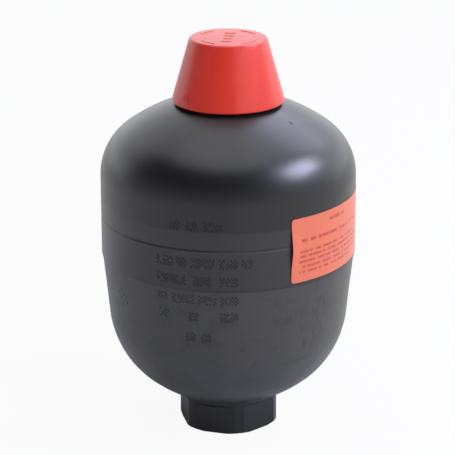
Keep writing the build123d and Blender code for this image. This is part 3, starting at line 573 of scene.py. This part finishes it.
# the forged skin eases in over 3 rows of points and out over 6
forged_rows = (rows > starts[4]) & (rows < starts[9])
ease = np.clip((rows - starts[4]) / 3, 0, 1) * np.clip((starts[9] - rows) / 6, 0, 1) * forged_rows
LOWER_STAMPS = [  # height, first turn, cells of each field, seed, and gap in cells, of each line
    (94.3, -32.2, [3, 2, 4, 3, 2], 21, 0.45),
    (86.2, -32.2, [5, 3, 3], 22, 1.2),
    (77.3, -32.2, [2, 4, 3, 3], 23, 0.5),
    (69.2, -32.0, [2, 2, 3], 24, 3.2),
    (59.3, -19.5, [2, 2], 25, 0.6),
]
dots = [dot for line in LOWER_STAMPS for dot in stamp_line(*line)]
depth = press(points, dots, DOT_R, DOT_DEPTH)
pits = [(-60.7, 74.2), (-57.1, 73.4), (-59.4, 71.8), (-55.6, 71.4)]
pits += [(-53.9, 67.8), (-58.2, 69.4), (-56.9, 66.4)]
PIT_R, PIT_DEPTH = 0.42, 0.3
pit_depth = press(points, pits, PIT_R, PIT_DEPTH)
# a shallow knock, longer than it is wide and leaning, and a short crease beside it
KNOCK_TURN, KNOCK_Z, KNOCK_LONG, KNOCK_WIDE, KNOCK_DEEP = 10.6, 45.2, 2.9, 1.1, 0.34
KNOCK_X, KNOCK_UP = 0.55, 0.84  # the way that it runs
CREASE_TURN, CREASE_Z, CREASE_LONG, CREASE_WIDE, CREASE_DEEP = 36.5, 45.0, 5.2, 0.55, 0.22
CREASE_SLOPE = 0.16
turn_of = np.degrees(np.arctan2(points[..., 0], -points[..., 1]))
radius_of = np.hypot(points[..., 0], points[..., 1])
across = np.radians(turn_of - KNOCK_TURN) * radius_of
rise = points[..., 2] - KNOCK_Z
long_way, short_way = across * KNOCK_X + rise * KNOCK_UP, across * KNOCK_UP - rise * KNOCK_X
knock = KNOCK_DEEP * np.exp(-((long_way / KNOCK_LONG) ** 2) - (short_way / KNOCK_WIDE) ** 2)
across = np.radians(turn_of - CREASE_TURN) * radius_of
rise = points[..., 2] - CREASE_Z - across * CREASE_SLOPE
crease = CREASE_DEEP * np.exp(-((rise / CREASE_WIDE) ** 2) - (across / CREASE_LONG) ** 2)
# the as-forged skin: low swells everywhere, and a cluster of drawn streaks on the right
GOUGES = 26
FORGED_SWELLS = [(11.0, 0.09, 5), (4.0, 0.05, 6), (1.7, 0.018, 8)]
# ranges of a streak's half length, half width, depth and lean; middle and spread of its place
GOUGE_LONG, GOUGE_WIDE, GOUGE_DEEP, GOUGE_LEAN = (0.9, 2.8), (0.4, 0.95), (0.04, 0.14), (-0.1, 0.25)
GOUGE_TURN, GOUGE_Z = (43.0, 4.6), (62.0, 6.0)
swell = swells(points, FORGED_SWELLS)
pick = random.Random(31)
streak = np.zeros(turn_of.shape)
for _ in range(GOUGES):
    middle = pick.gauss(*GOUGE_TURN), pick.gauss(*GOUGE_Z)
    half_long, half_wide = pick.uniform(*GOUGE_LONG), pick.uniform(*GOUGE_WIDE)
    deep = pick.uniform(*GOUGE_DEEP)
    rise = points[..., 2] - middle[1]
    across = np.radians(turn_of - middle[0]) * radius_of + rise * pick.uniform(*GOUGE_LEAN)
    shape = np.exp(-((across / half_wide) ** 2) - (rise / half_long) ** 4)
    streak = np.maximum(streak, deep * shape)
skin = (swell + streak) * ease[:, None]
outer = (rows > starts[2]) & (rows < starts[9])
marks = np.maximum(depth + pit_depth + knock + crease, -LIP) * outer[:, None]
push_in(points, loop, marks + skin)
mesh = grid_mesh("lower_shell_painted", points, sharp_rows, edge_columns, starts[10])
# painted shade: how dark the dots, pits, crease and streaks are painted for the shade in their hollows
dark = depth / DOT_DEPTH + pit_depth / 0.2 + crease * 1.2 + streak * ease[:, None] * 2.0
store(mesh, "recess_shade", np.clip(dark, 0, 1) * outer[:, None])
store(mesh, "forged", np.repeat(ease[:, None], len(turns), 1))
paleness = np.maximum(ease, LOW_BAND_PALE * (rows <= starts[4])) * (rows < starts[9])
# a painted highlight: the rounded edge beside the weld, where it catches light, is painted lightest
paleness[starts[1] : starts[2] + 1] = EDGE_HIGHLIGHT
store(mesh, "pale_tone", np.repeat(paleness[:, None], len(turns), 1))
lower = keep_mesh("lower_shell_painted", mesh, "vessel", enamel)
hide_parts("lower_shell")

# ---------------------------------------------------------------- uneven weld bead

BEAD_TOP, BEAD_LOW = 0.52, 0.3
BEAD_ROWS = 6
turns = np.arange(-180, 180, 0.75)
width = weld_high - weld_low
# the bead lies a little under the skin, deepest under the upper edge, and fills it in places
hollow = [BEAD_LOW + (BEAD_TOP - BEAD_LOW) * i / BEAD_ROWS for i in range(BEAD_ROWS + 1)]
loop = [(skin_r - hollow[i], weld_low + width * i / BEAD_ROWS) for i in range(BEAD_ROWS + 1)]
loop += [(RING_BORE, weld_high), (RING_BORE, weld_low)]
points = turned_points(loop, turns)
ring = np.array([[math.cos(t) * 4, math.sin(t) * 4, 0] for t in np.radians(turns)])
filled = np.clip(0.5 + ripple(ring, 1.0, 14) * 2.2, 0, 1)
FILLS = [  # from turn, to turn, share of the groove that is filled
    (-72, -4, 0.0),
    (-4, 14, 1.0),
    (14, 20, 0.35),
    (20, 22, 1.0),
    (22, 24, 0.4),
    (24, 32, 1.0),
]
for start, end, share in FILLS:
    filled[(turns >= start) & (turns < end)] = share
filled = np.convolve(np.pad(filled, 2, "wrap"), np.ones(5) / 5, "valid")
BEAD_LUMPS = [(6.0, 0.07, 12), (1.4, 0.05, 13)]
lumps = swells(points, BEAD_LUMPS)
room = np.array(hollow + [0, 0])[:, None]
rise = np.clip(filled[None, :] * (room - 0.03) + lumps, 0, room - 0.01)
push_in(points, loop, -rise)
mesh = grid_mesh("weld_bead", points, [0, BEAD_ROWS, BEAD_ROWS + 1, BEAD_ROWS + 2])
store(mesh, "pale_tone", np.full(points.shape[:2], BAND_PALE))
weld = keep_mesh("weld_bead", mesh, "vessel", enamel)
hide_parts("weld_seam")

# ---------------------------------------------------------------- film round the right side

STICKER_START, STICKER_ARC = 28.3, 67.5
STICKER_SKEW = 0.7
STICKER_CORNER = 1.5
STICKER_TRIM = 0.35
FILM_T, FILM_GAP = 0.07, 0.01
LOOSE_LIFT, LOOSE_REACH, LOOSE_WAVE = 1.25, 3.8, 0.12  # the front edge stands off and waves
LEAST_LIFT = 0.14  # share of the lift that is left at the edge's ends
LIFT_Z, LIFT_HALF, WAVE_Z, WAVE_TURN = 0.5, 7.5, 1.0, 0.3  # its places over the film's middle
CLOSE_END = 8  # columns lie closer up to this far from each end
sticker_mid = (sticker_low + sticker_high) / 2
half_height = (sticker_high - sticker_low) / 2 - STICKER_TRIM
length = math.radians(STICKER_ARC) * body_r
corner_part = STICKER_CORNER * (1 - np.cos(np.linspace(0, math.pi / 2, 9)))
ends = np.concatenate([corner_part, np.linspace(STICKER_CORNER, CLOSE_END, 14)[1:]])
middle_part = np.linspace(CLOSE_END, length - CLOSE_END, 46)[1:-1]
lengths = np.concatenate([ends, middle_part, length - ends[::-1]])
heights = np.linspace(-1, 1, 61)
grid = np.zeros((len(heights), len(lengths), 3))
film_uv = np.zeros((len(heights), len(lengths), 2))
for column, reach in enumerate(lengths):
    side = min(reach, length - reach)
    nip = STICKER_CORNER - side
    half = half_height
    if nip > 0:
        half -= STICKER_CORNER - math.sqrt(max(0, STICKER_CORNER**2 - nip**2))
    drop = STICKER_SKEW * (1 - reach / length)
    rise = heights * half
    # the loose front edge bridges the seam, most at mid height, and waves a little; the rest lies flat
    loose = math.exp(-((reach / LOOSE_REACH) ** 2))
    bulge = np.exp(-(((rise - LIFT_Z) / LIFT_HALF) ** 2))
    lift = LOOSE_LIFT * loose * (LEAST_LIFT + (1 - LEAST_LIFT) * bulge)
    wave = LOOSE_WAVE * loose * np.cos((rise - WAVE_Z) * WAVE_TURN)
    angle = np.radians(STICKER_START) + (reach + wave) / body_r
    radius = body_r + FILM_GAP + lift
    grid[:, column, 0] = radius * np.sin(angle)
    grid[:, column, 1] = -radius * np.cos(angle)
    grid[:, column, 2] = sticker_mid + rise - drop
    film_uv[:, column, 0] = reach * MM
    film_uv[:, column, 1] = (rise + half_height) * MM
out = grid.copy()
reach_of = np.hypot(grid[..., 0], grid[..., 1])
out[..., :2] *= ((reach_of + FILM_T) / reach_of)[..., None]
shift = reach_of.size
index = np.arange(shift).reshape(reach_of.shape)
front = np.stack([index[:-1, :-1], index[:-1, 1:], index[1:, 1:], index[1:, :-1]], -1).reshape(-1, 4)
back = front[:, ::-1] + shift
rim = np.concatenate([index[0], index[1:, -1], index[-1, -2::-1], index[-2:0:-1, 0]])
after = np.roll(rim, -1)
side = np.stack([after, rim, rim + shift, after + shift], -1)
mesh = bpy.data.meshes.new("sticker_film")
both = np.concatenate([out.reshape(-1, 3), grid.reshape(-1, 3)]) * MM
faces = np.concatenate([front, back, side])
mesh.from_pydata(both.tolist(), [], faces.tolist())
mesh.shade_smooth()
mesh.set_sharp_from_angle(angle=math.radians(50))
corner_points = np.zeros(len(mesh.loops), np.int32)
mesh.loops.foreach_get("vertex_index", corner_points)
both_uv = np.concatenate([film_uv.reshape(-1, 2)] * 2)
corner_uv = both_uv[corner_points].astype(np.float32).ravel()
mesh.uv_layers.new(name="film").data.foreach_set("uv", corner_uv)
face_corner = np.repeat(np.arange(len(faces)), 4)
printed = (face_corner < len(front)).astype(np.float32)
mesh.attributes.new("printed", "FLOAT", "CORNER").data.foreach_set("value", printed)

# Satin polyester film, printed on an orange-red ground: even colour with rows of plain bars in a
# darker red, each broken into short runs. The print is flat ink, so it only changes the colour.
film, tree, shader, place = new_finish("Printed polyester film", "#ca664c", 0.36)
film_place = add(tree, "ShaderNodeUVMap", uv_map="film").outputs["UV"]
split = add(tree, SPLIT, {"Vector": film_place})
on_front = add(tree, "ShaderNodeAttribute", attribute_name="printed").outputs["Fac"]
BARS = [  # start, end, height above the lower edge and thickness of each row of bars, in mm
    (21.5, 33.0, 25.0, 1.5),
    (4.0, 47.0, 18.6, 1.35),
    (4.0, 44.0, 13.6, 1.0),
    (3.6, 49.0, 11.4, 1.0),
    (3.8, 46.0, 9.1, 1.0),
    (3.6, 50.0, 6.7, 1.0),
    (3.8, 42.0, 4.4, 1.0),
]
RUN = 1.5  # length of one printed or bare run of a bar
ink = None
for number, (start, end, height, thick) in enumerate(BARS):
    row = add(tree, MATH, {0: split.outputs["Y"], 1: height * MM, 2: thick / 2 * MM}, operation="COMPARE")
    middle, half = (start + end) / 2 * MM, (end - start) / 2 * MM
    run = add(tree, MATH, {0: split.outputs["X"], 1: middle, 2: half}, operation="COMPARE")
    bar = add(tree, MATH, {0: row, 1: run}, operation="MULTIPLY")
    cells = add(
        tree, MATH, {0: split.outputs["X"], 1: 1 / (RUN * MM), 2: number * 17.3}, operation="MULTIPLY_ADD"
    )
    words = add(tree, NOISE, {"W": cells, "Scale": 0.62, "Detail": 0.0}, noise_dimensions="1D")
    gaps = add(tree, MATH, {0: words, 1: 0.4}, operation="GREATER_THAN")
    part = add(tree, MATH, {0: bar, 1: gaps}, operation="MULTIPLY")
    if ink is not None:
        part = add(tree, MATH, {0: ink, 1: part}, operation="MAXIMUM")
    ink = part
ink_front = add(tree, MATH, {0: ink, 1: on_front}, operation="MULTIPLY")
wear = add(tree, NOISE, {"Vector": place, "Scale": 1 / (3 * MM), "Detail": 4.0})
strength = add(tree, RANGE, {0: wear, 1: 0.3, 2: 0.7, 3: 0.5, 4: 0.95})
ink_all = add(tree, MATH, {0: ink_front, 1: strength}, operation="MULTIPLY")
ground = add(tree, MIX, {"Factor": wear, 6: linear("#c6624a"), 7: linear("#cf6b50")}, data_type="RGBA")
tone = add(tree, MIX, {"Factor": ink_all, 6: ground.outputs[2], 7: linear("#9c281c")}, data_type="RGBA")
paper = add(tree, NOISE, {"Vector": place, "Scale": 1 / (4 * MM), "Detail": 2.0})
coat(tree, shader, tone, None, paper, 0.03 * MM)
label = keep_mesh("sticker_film", mesh, "vessel", film)
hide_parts("sticker")

# ---------------------------------------------------------------- what repeats: thread, moulded marks


def new_tree(name, sizes):
    """A geometry tree with a named input for each size: returns it with its input and output nodes."""
    tree = bpy.data.node_groups.new(name, "GeometryNodeTree")
    tree.interface.new_socket("Geometry", in_out="OUTPUT", socket_type="NodeSocketGeometry")
    for label, value in sizes.items():
        kind = "NodeSocketInt" if isinstance(value, int) else "NodeSocketFloat"
        tree.interface.new_socket(label, in_out="INPUT", socket_type=kind).default_value = value
    return tree, add(tree, "NodeGroupInput").outputs, add(tree, "NodeGroupOutput")


def grown(name, tree, sizes, shapes, result, body, finish):
    """Ends a tree with real copies in their material, runs it, and keeps the plain mesh it makes."""
    real = add(tree, "GeometryNodeRealizeInstances", {0: shapes})
    coated = add(tree, "GeometryNodeSetMaterial", {"Geometry": real, "Material": finish})
    tree.links.new(coated.outputs[0], result.inputs[0])
    maker = bpy.data.objects.new(name + "_maker", bpy.data.meshes.new(name + "_maker"))
    bpy.context.scene.collection.objects.link(maker)
    modifier = maker.modifiers.new("made", "NODES")
    modifier.node_group = tree
    for socket in tree.interface.items_tree:
        if socket.in_out == "INPUT":
            modifier[socket.identifier] = sizes[socket.name]
    graph = bpy.context.evaluated_depsgraph_get()
    mesh = bpy.data.meshes.new_from_object(maker.evaluated_get(graph))
    mesh.name = name
    maker.modifiers.clear()
    bpy.data.objects.remove(maker)
    return keep_mesh(name, mesh, body, finish)


# One ridge of a screw thread: a spiral at the thread's middle radius carries a trapezium.
thread_sizes = {
    "Radius": (THREAD_MINOR + THREAD_MAJOR) / 2 * MM,
    "Turns": THREAD_TURNS,
    "Length": THREAD_TURNS * THREAD_PITCH * MM,
    "Start": 1.0 * MM,
    "Root width": 1.5 * MM,
    "Crest width": 0.35 * MM,
    "Depth": (THREAD_MAJOR - THREAD_MINOR) * MM,
    "Steps": 64,
}
thread_tree, given, result = new_tree("Thread turns", thread_sizes)
spiral = add(
    thread_tree,
    "GeometryNodeCurveSpiral",
    {
        "Resolution": given["Steps"],
        "Rotations": given["Turns"],
        "Start Radius": given["Radius"],
        "End Radius": given["Radius"],
        "Height": given["Length"],
    },
)
upright = add(thread_tree, "GeometryNodeSetCurveNormal", {"Curve": spiral}, mode="Z_UP")
section = add(
    thread_tree,
    "GeometryNodeCurvePrimitiveQuadrilateral",
    {
        "Height": given["Depth"],
        "Bottom Width": given["Root width"],
        "Top Width": given["Crest width"],
        "Offset": 0.0,
    },
    mode="TRAPEZOID",
)
turned = add(thread_tree, "GeometryNodeTransform", {"Geometry": section, "Rotation": (0.0, 0.0, math.pi / 2)})
ridge = add(
    thread_tree, "GeometryNodeCurveToMesh", {"Curve": upright, "Profile Curve": turned, "Fill Caps": True}
)
lift = add(thread_tree, JOIN, {"Z": given["Start"]})
placed = add(thread_tree, "GeometryNodeTransform", {"Geometry": ridge, "Translation": lift})
grown("port_thread", thread_tree, thread_sizes, placed, result, "vessel", thread_steel)

# The protective cap: its solid's own surface, joined up, with the roof lowered by as much as its
# marks stand up.
MARK_PROUD = 0.16
ROOF_ZONE = 1.2  # height over which the wall takes that up
shape = bmesh.new()
shape.from_mesh(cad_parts["protective_cap"].data)
bmesh.ops.remove_doubles(shape, verts=shape.verts, dist=1e-6)
for vert in shape.verts:
    roof = min(1.0, max(0.0, (vert.co.z / MM - (cap_high - ROOF_ZONE)) / ROOF_ZONE))
    vert.co.z -= MARK_PROUD * roof * MM
# where the cap's wall is at its small side marks, and how it leans there
SIDE_LEVEL, SIDE_TURN = 156.2, math.radians(-54)
side_way = Vector((math.sin(SIDE_TURN), -math.cos(SIDE_TURN), 0.0))
side_start = side_way * 0.1 + Vector((0.0, 0.0, SIDE_LEVEL * MM))
side_hit, side_normal = BVHTree.FromBMesh(shape).ray_cast(side_start, -side_way)[:2]
mesh = bpy.data.meshes.new("protective_cap_moulded")
shape.to_mesh(mesh)
shape.free()
mesh.shade_smooth()
mesh.set_sharp_from_angle(angle=math.radians(35))
cap_piece = keep_mesh("protective_cap_moulded", mesh, "cap", red_plastic)
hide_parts("protective_cap")

# Moulded arcs on the cap's roof: copies of one raised arc set out round a ring.
ring_sizes = {
    "Radius": 13.2 * MM,
    "Sweep": math.radians(34),
    "Width": 0.9 * MM,
    "Height": MARK_PROUD * 2 * MM,
    "Level": (cap_high - MARK_PROUD) * MM,
    "Count": 4,
    "First turn": math.radians(30),
}
ring_tree, given, result = new_tree("Raised arcs", ring_sizes)
arc = add(
    ring_tree,
    "GeometryNodeCurveArc",
    {"Resolution": 18, "Radius": given["Radius"], "Sweep Angle": given["Sweep"]},
)
bar = add(
    ring_tree,
    "GeometryNodeCurvePrimitiveQuadrilateral",
    {"Width": given["Width"], "Height": given["Height"]},
    mode="RECTANGLE",
)
soft = add(ring_tree, "GeometryNodeFilletCurve", {"Curve": bar, "Count": 2, "Radius": 0.1 * MM}, mode="POLY")
upright = add(ring_tree, "GeometryNodeSetCurveNormal", {"Curve": arc}, mode="Z_UP")
raised = add(
    ring_tree, "GeometryNodeCurveToMesh", {"Curve": upright, "Profile Curve": soft, "Fill Caps": True}
)
spots = add(ring_tree, "GeometryNodeMeshLine", {"Count": given["Count"], "Offset": (0.0, 0.0, 0.0)})
number = add(ring_tree, "GeometryNodeInputIndex")
share = add(ring_tree, MATH, {0: 2 * math.pi, 1: given["Count"]}, operation="DIVIDE")
turn = add(ring_tree, MATH, {0: number, 1: share, 2: given["First turn"]}, operation="MULTIPLY_ADD")
spin = add(ring_tree, JOIN, {"Z": turn})
copies = add(
    ring_tree, "GeometryNodeInstanceOnPoints", {"Points": spots, "Instance": raised, "Rotation": spin}
)
lift = add(ring_tree, JOIN, {"Z": given["Level"]})
placed = add(ring_tree, "GeometryNodeTransform", {"Geometry": copies, "Translation": lift})
grown("cap_top_arcs", ring_tree, ring_sizes, placed, result, "cap", red_plastic)

# Moulded bars: copies of one raised bar of uneven length in a row across the middle of the roof.
row_sizes = {
    "Length": 4.2 * MM,
    "Width": 1.3 * MM,
    "Height": MARK_PROUD * 2 * MM,
    "Level": (cap_high - MARK_PROUD) * MM,
    "Count": 4,
    "Pitch": 5.1 * MM,
    "Lean": math.radians(-7),
    "Seed": 4,
}
row_tree, given, result = new_tree("Raised bars", row_sizes)
block = add(row_tree, JOIN, {"X": given["Length"], "Y": given["Width"], "Z": given["Height"]})
bar = add(row_tree, "GeometryNodeMeshCube", {"Size": block})
step = add(row_tree, JOIN, {"Y": given["Pitch"]})
spots = add(row_tree, "GeometryNodeMeshLine", {"Count": given["Count"], "Offset": step})
spread = add(row_tree, MATH, {0: given["Count"], 1: 1.0}, operation="SUBTRACT")
back_off = add(row_tree, MATH, {0: spread, 1: given["Pitch"]}, operation="MULTIPLY")
half_off = add(row_tree, MATH, {0: back_off, 1: -0.5}, operation="MULTIPLY")
size = add(
    row_tree,
    "FunctionNodeRandomValue",
    {"Min": (0.8, 1.0, 1.0), "Max": (1.15, 1.0, 1.0), "Seed": given["Seed"]},
    data_type="FLOAT_VECTOR",
)
copies = add(row_tree, "GeometryNodeInstanceOnPoints", {"Points": spots, "Instance": bar, "Scale": size})
lift = add(row_tree, JOIN, {"Y": half_off, "Z": given["Level"]})
placed = add(row_tree, "GeometryNodeTransform", {"Geometry": copies, "Translation": lift})
lean = add(row_tree, JOIN, {"Z": given["Lean"]})
placed = add(row_tree, "GeometryNodeTransform", {"Geometry": placed, "Rotation": lean})
grown("cap_top_bars", row_tree, row_sizes, placed, result, "cap", red_plastic)

# Three small upright ticks low on the cap's side: the mould's cavity mark, with no characters.
TICK_SIZE = (0.7 * MM, 0.6 * MM, 2.6 * MM)
TICK_SUNK = 0.1  # the middle of a tick lies this far inside the wall
side_sizes = {
    "Reach": side_hit.xy.length - TICK_SUNK * MM,
    "Turn": SIDE_TURN,
    "Gap": 1.9 * MM,
    "Level": SIDE_LEVEL * MM,
    "Lean": -math.asin(side_normal.z),
    "Count": 3,
}
side_tree, given, result = new_tree("Side ticks", side_sizes)
tick = add(side_tree, "GeometryNodeMeshCube", {"Size": TICK_SIZE})
spots = add(side_tree, "GeometryNodeMeshLine", {"Count": given["Count"], "Offset": (0.0, 0.0, 0.0)})
number = add(side_tree, "GeometryNodeInputIndex")
step = add(side_tree, MATH, {0: given["Gap"], 1: given["Reach"]}, operation="DIVIDE")
turn = add(side_tree, MATH, {0: number, 1: step, 2: given["Turn"]}, operation="MULTIPLY_ADD")
across = add(side_tree, MATH, {0: turn}, operation="SINE")
ahead = add(side_tree, MATH, {0: turn}, operation="COSINE")
out_x = add(side_tree, MATH, {0: across, 1: given["Reach"]}, operation="MULTIPLY")
out_y = add(side_tree, MATH, {0: ahead, 1: given["Reach"]}, operation="MULTIPLY")
front = add(side_tree, MATH, {0: out_y, 1: -1.0}, operation="MULTIPLY")
place_at = add(side_tree, JOIN, {"X": out_x, "Y": front, "Z": given["Level"]})
moved = add(side_tree, "GeometryNodeSetPosition", {"Geometry": spots, "Position": place_at})
spin = add(side_tree, JOIN, {"X": given["Lean"], "Z": turn})
copies = add(side_tree, "GeometryNodeInstanceOnPoints", {"Points": moved, "Instance": tick, "Rotation": spin})
grown("cap_side_ticks", side_tree, side_sizes, copies, result, "cap", red_plastic)

# ---------------------------------------------------------------- floor, camera and light

# A pale matt floor: it lights the object from below and takes its shadow, and to the camera it is
# nearly white. To gloss it also glows white as painted light: a painted pool of light on the right and
# the far left, and a painted shadow close to the port.
floor_finish, tree, shader, place = new_finish("Pale matt floor", "#cacbcf", 0.9)
shader.inputs["Specular IOR Level"].default_value = 0.1
# its glow in gloss is a painted shadow near the axis and a painted light farther out
NEAR, FAR = 0.042, 0.085  # distance from the axis up to which gloss shows it dark, and from which bright
CAMERA_WHITE = 0.92  # share of plain white in what the camera sees
rays = add(tree, "ShaderNodeLightPath")
mirrored = add(
    tree, MATH, {0: rays.outputs["Is Glossy Ray"], 1: rays.outputs["Is Transmission Ray"]}, operation="ADD"
)
away = add(tree, "ShaderNodeVectorMath", {0: place}, operation="LENGTH")
past_painted_shadow = add(
    tree,
    RANGE,
    {0: away.outputs["Value"], 1: NEAR, 2: FAR, 3: 0.0, 4: 1.0},
    interpolation_type="SMOOTHSTEP",
)
split = add(tree, SPLIT, {"Vector": place})
# painted light: the glow in gloss is brighter to the right and at the far left
lit_part = add(tree, RANGE, {0: split.outputs["X"], 1: -0.02, 2: 0.14, 3: 0.3, 4: 1.1})
left_part = add(tree, RANGE, {0: split.outputs["X"], 1: -0.3, 2: -0.1, 3: 0.4, 4: 0.0})
lit_parts = add(tree, MATH, {0: lit_part, 1: left_part}, operation="ADD")
painted_glow = add(tree, MATH, {0: past_painted_shadow, 1: lit_parts}, operation="MULTIPLY")
mirror_part = add(tree, MATH, {0: mirrored, 1: painted_glow}, operation="MULTIPLY")
glow = add(tree, RANGE, {0: rays.outputs["Is Camera Ray"], 3: 1.1, 4: 1.0})
white = add(tree, "ShaderNodeEmission", {"Color": (1.0, 1.0, 1.0, 1.0), "Strength": glow})
part = add(
    tree,
    MATH,
    {0: rays.outputs["Is Camera Ray"], 1: CAMERA_WHITE, 2: mirror_part},
    operation="MULTIPLY_ADD",
)
mixed = add(tree, "ShaderNodeMixShader", {0: part, 1: shader, 2: white})
tree.links.new(mixed.outputs[0], tree.nodes["Material Output"].inputs["Surface"])
FLOOR_LEVEL = -0.00005  # just under the port's face, so that the two don't lie in one plane
FLOOR_HALF = 8
mesh = bpy.data.meshes.new("Floor")
corners = [(x * FLOOR_HALF, y * FLOOR_HALF, FLOOR_LEVEL) for x, y in ((-1, -1), (1, -1), (1, 1), (-1, 1))]
mesh.from_pydata(corners, [], [(0, 1, 2, 3)])
floor = bpy.data.objects.new("Floor", mesh)
mesh.materials.append(floor_finish)
bpy.context.scene.collection.objects.link(floor)

# a long lens a little under a metre away, looking down
LOOK_DOWN = 18.606
cam_data = bpy.data.cameras.new("Camera")
cam_data.lens = 173.97
cam_data.sensor_width = 36.0
cam = bpy.data.objects.new("Camera", cam_data)
cam.location = (-0.00033, -0.938, 0.4076)
cam.rotation_euler = (math.radians(90 - LOOK_DOWN), 0.0, 0.0)
bpy.context.scene.collection.objects.link(cam)
bpy.context.scene.camera = cam


def softbox(name, aim, way, distance, size, radiance, code):
    """A soft lamp of width and height, at a distance from the point that it faces."""
    data = bpy.data.lights.new(name, "AREA")
    data.shape = "RECTANGLE"
    data.size, data.size_y = size
    data.energy = radiance * math.pi * size[0] * size[1]
    data.color = linear(code)[:3]
    lamp = bpy.data.objects.new(name, data)
    lamp.location = Vector(aim) + Vector(way).normalized() * distance
    lamp.rotation_euler = (Vector(aim) - lamp.location).to_track_quat("-Z", "Y").to_euler()
    bpy.context.scene.collection.objects.link(lamp)
    return lamp


right_shoulder = (0.036, -0.036, 0.135)
key_way = (0.78, -0.10, 0.58)
# the key is two lamps in one place: the wide one is only seen in gloss, the other only lights
key = softbox("Key_right", right_shoulder, key_way, 1.2, (0.66, 0.4), 24.5, "#dde2ff")
key.visible_diffuse = False
key_soft = softbox("Key_right_soft", right_shoulder, key_way, 1.2, (0.38, 0.28), 28.0, "#dde2ff")
key_soft.visible_glossy = False
softbox("Overhead_right", right_shoulder, (0.34, 0.62, 0.70), 1.3, (0.95, 0.75), 3.1, "#dce0ff")
# a fill that only softens the shadows: nothing glossy shows it
fill = softbox("Front_right_fill", right_shoulder, (0.5, -0.76, 0.42), 1.5, (0.9, 0.9), 5.2, "#ffffff")
fill.visible_glossy = False

# The room: to what is glossy it is pale behind, overhead, on the right and near the floor, and dark in
# front; as soft light it is nearly even, a little weaker from the left.
world = bpy.data.worlds.new("Studio")
bpy.context.scene.world = world
world.use_nodes = True
tree = world.node_tree
tree.nodes.clear()
way = add(tree, "ShaderNodeTexCoord").outputs["Generated"]
split = add(tree, SPLIT, {"Vector": way})
GLOSS_ROOM = {  # axis, from where to where along it, and from how bright to how bright
    "behind": ("Y", 0.05, 0.5, 0.03, 1.5),
    "above": ("Z", 0.79, 0.92, 0.0, 2.2),
    "right": ("X", 0.35, 0.95, 0.0, 0.7),
    "low": ("Z", 0.15, 0.5, 0.35, 0.0),
}
seen = {}
for side, (axis, start, end, dim, bright) in GLOSS_ROOM.items():
    span = {0: split.outputs[axis], 1: start, 2: end, 3: dim, 4: bright}
    seen[side] = add(tree, RANGE, span, interpolation_type="SMOOTHSTEP")
back = add(tree, MATH, {0: seen["behind"], 1: seen["above"]}, operation="MAXIMUM")
sides = add(tree, MATH, {0: seen["right"], 1: seen["low"]}, operation="ADD")
glossy = add(tree, MATH, {0: back, 1: sides}, operation="ADD")
ambient = add(tree, MATH, {0: split.outputs["X"], 1: 0.07, 2: 0.53}, operation="MULTIPLY_ADD")
rays = add(tree, "ShaderNodeLightPath")
soft = add(tree, MIX, {"Factor": rays.outputs["Is Diffuse Ray"], 2: glossy, 3: ambient}, data_type="FLOAT")
strength = add(tree, MIX, {"Factor": rays.outputs["Is Camera Ray"], 2: soft, 3: 1.0}, data_type="FLOAT")
sky = add(tree, "ShaderNodeBackground", {"Color": linear("#f8f9ff"), "Strength": strength})
add(tree, "ShaderNodeOutputWorld", {"Surface": sky})

bpy.context.scene.view_settings.view_transform = "Standard"
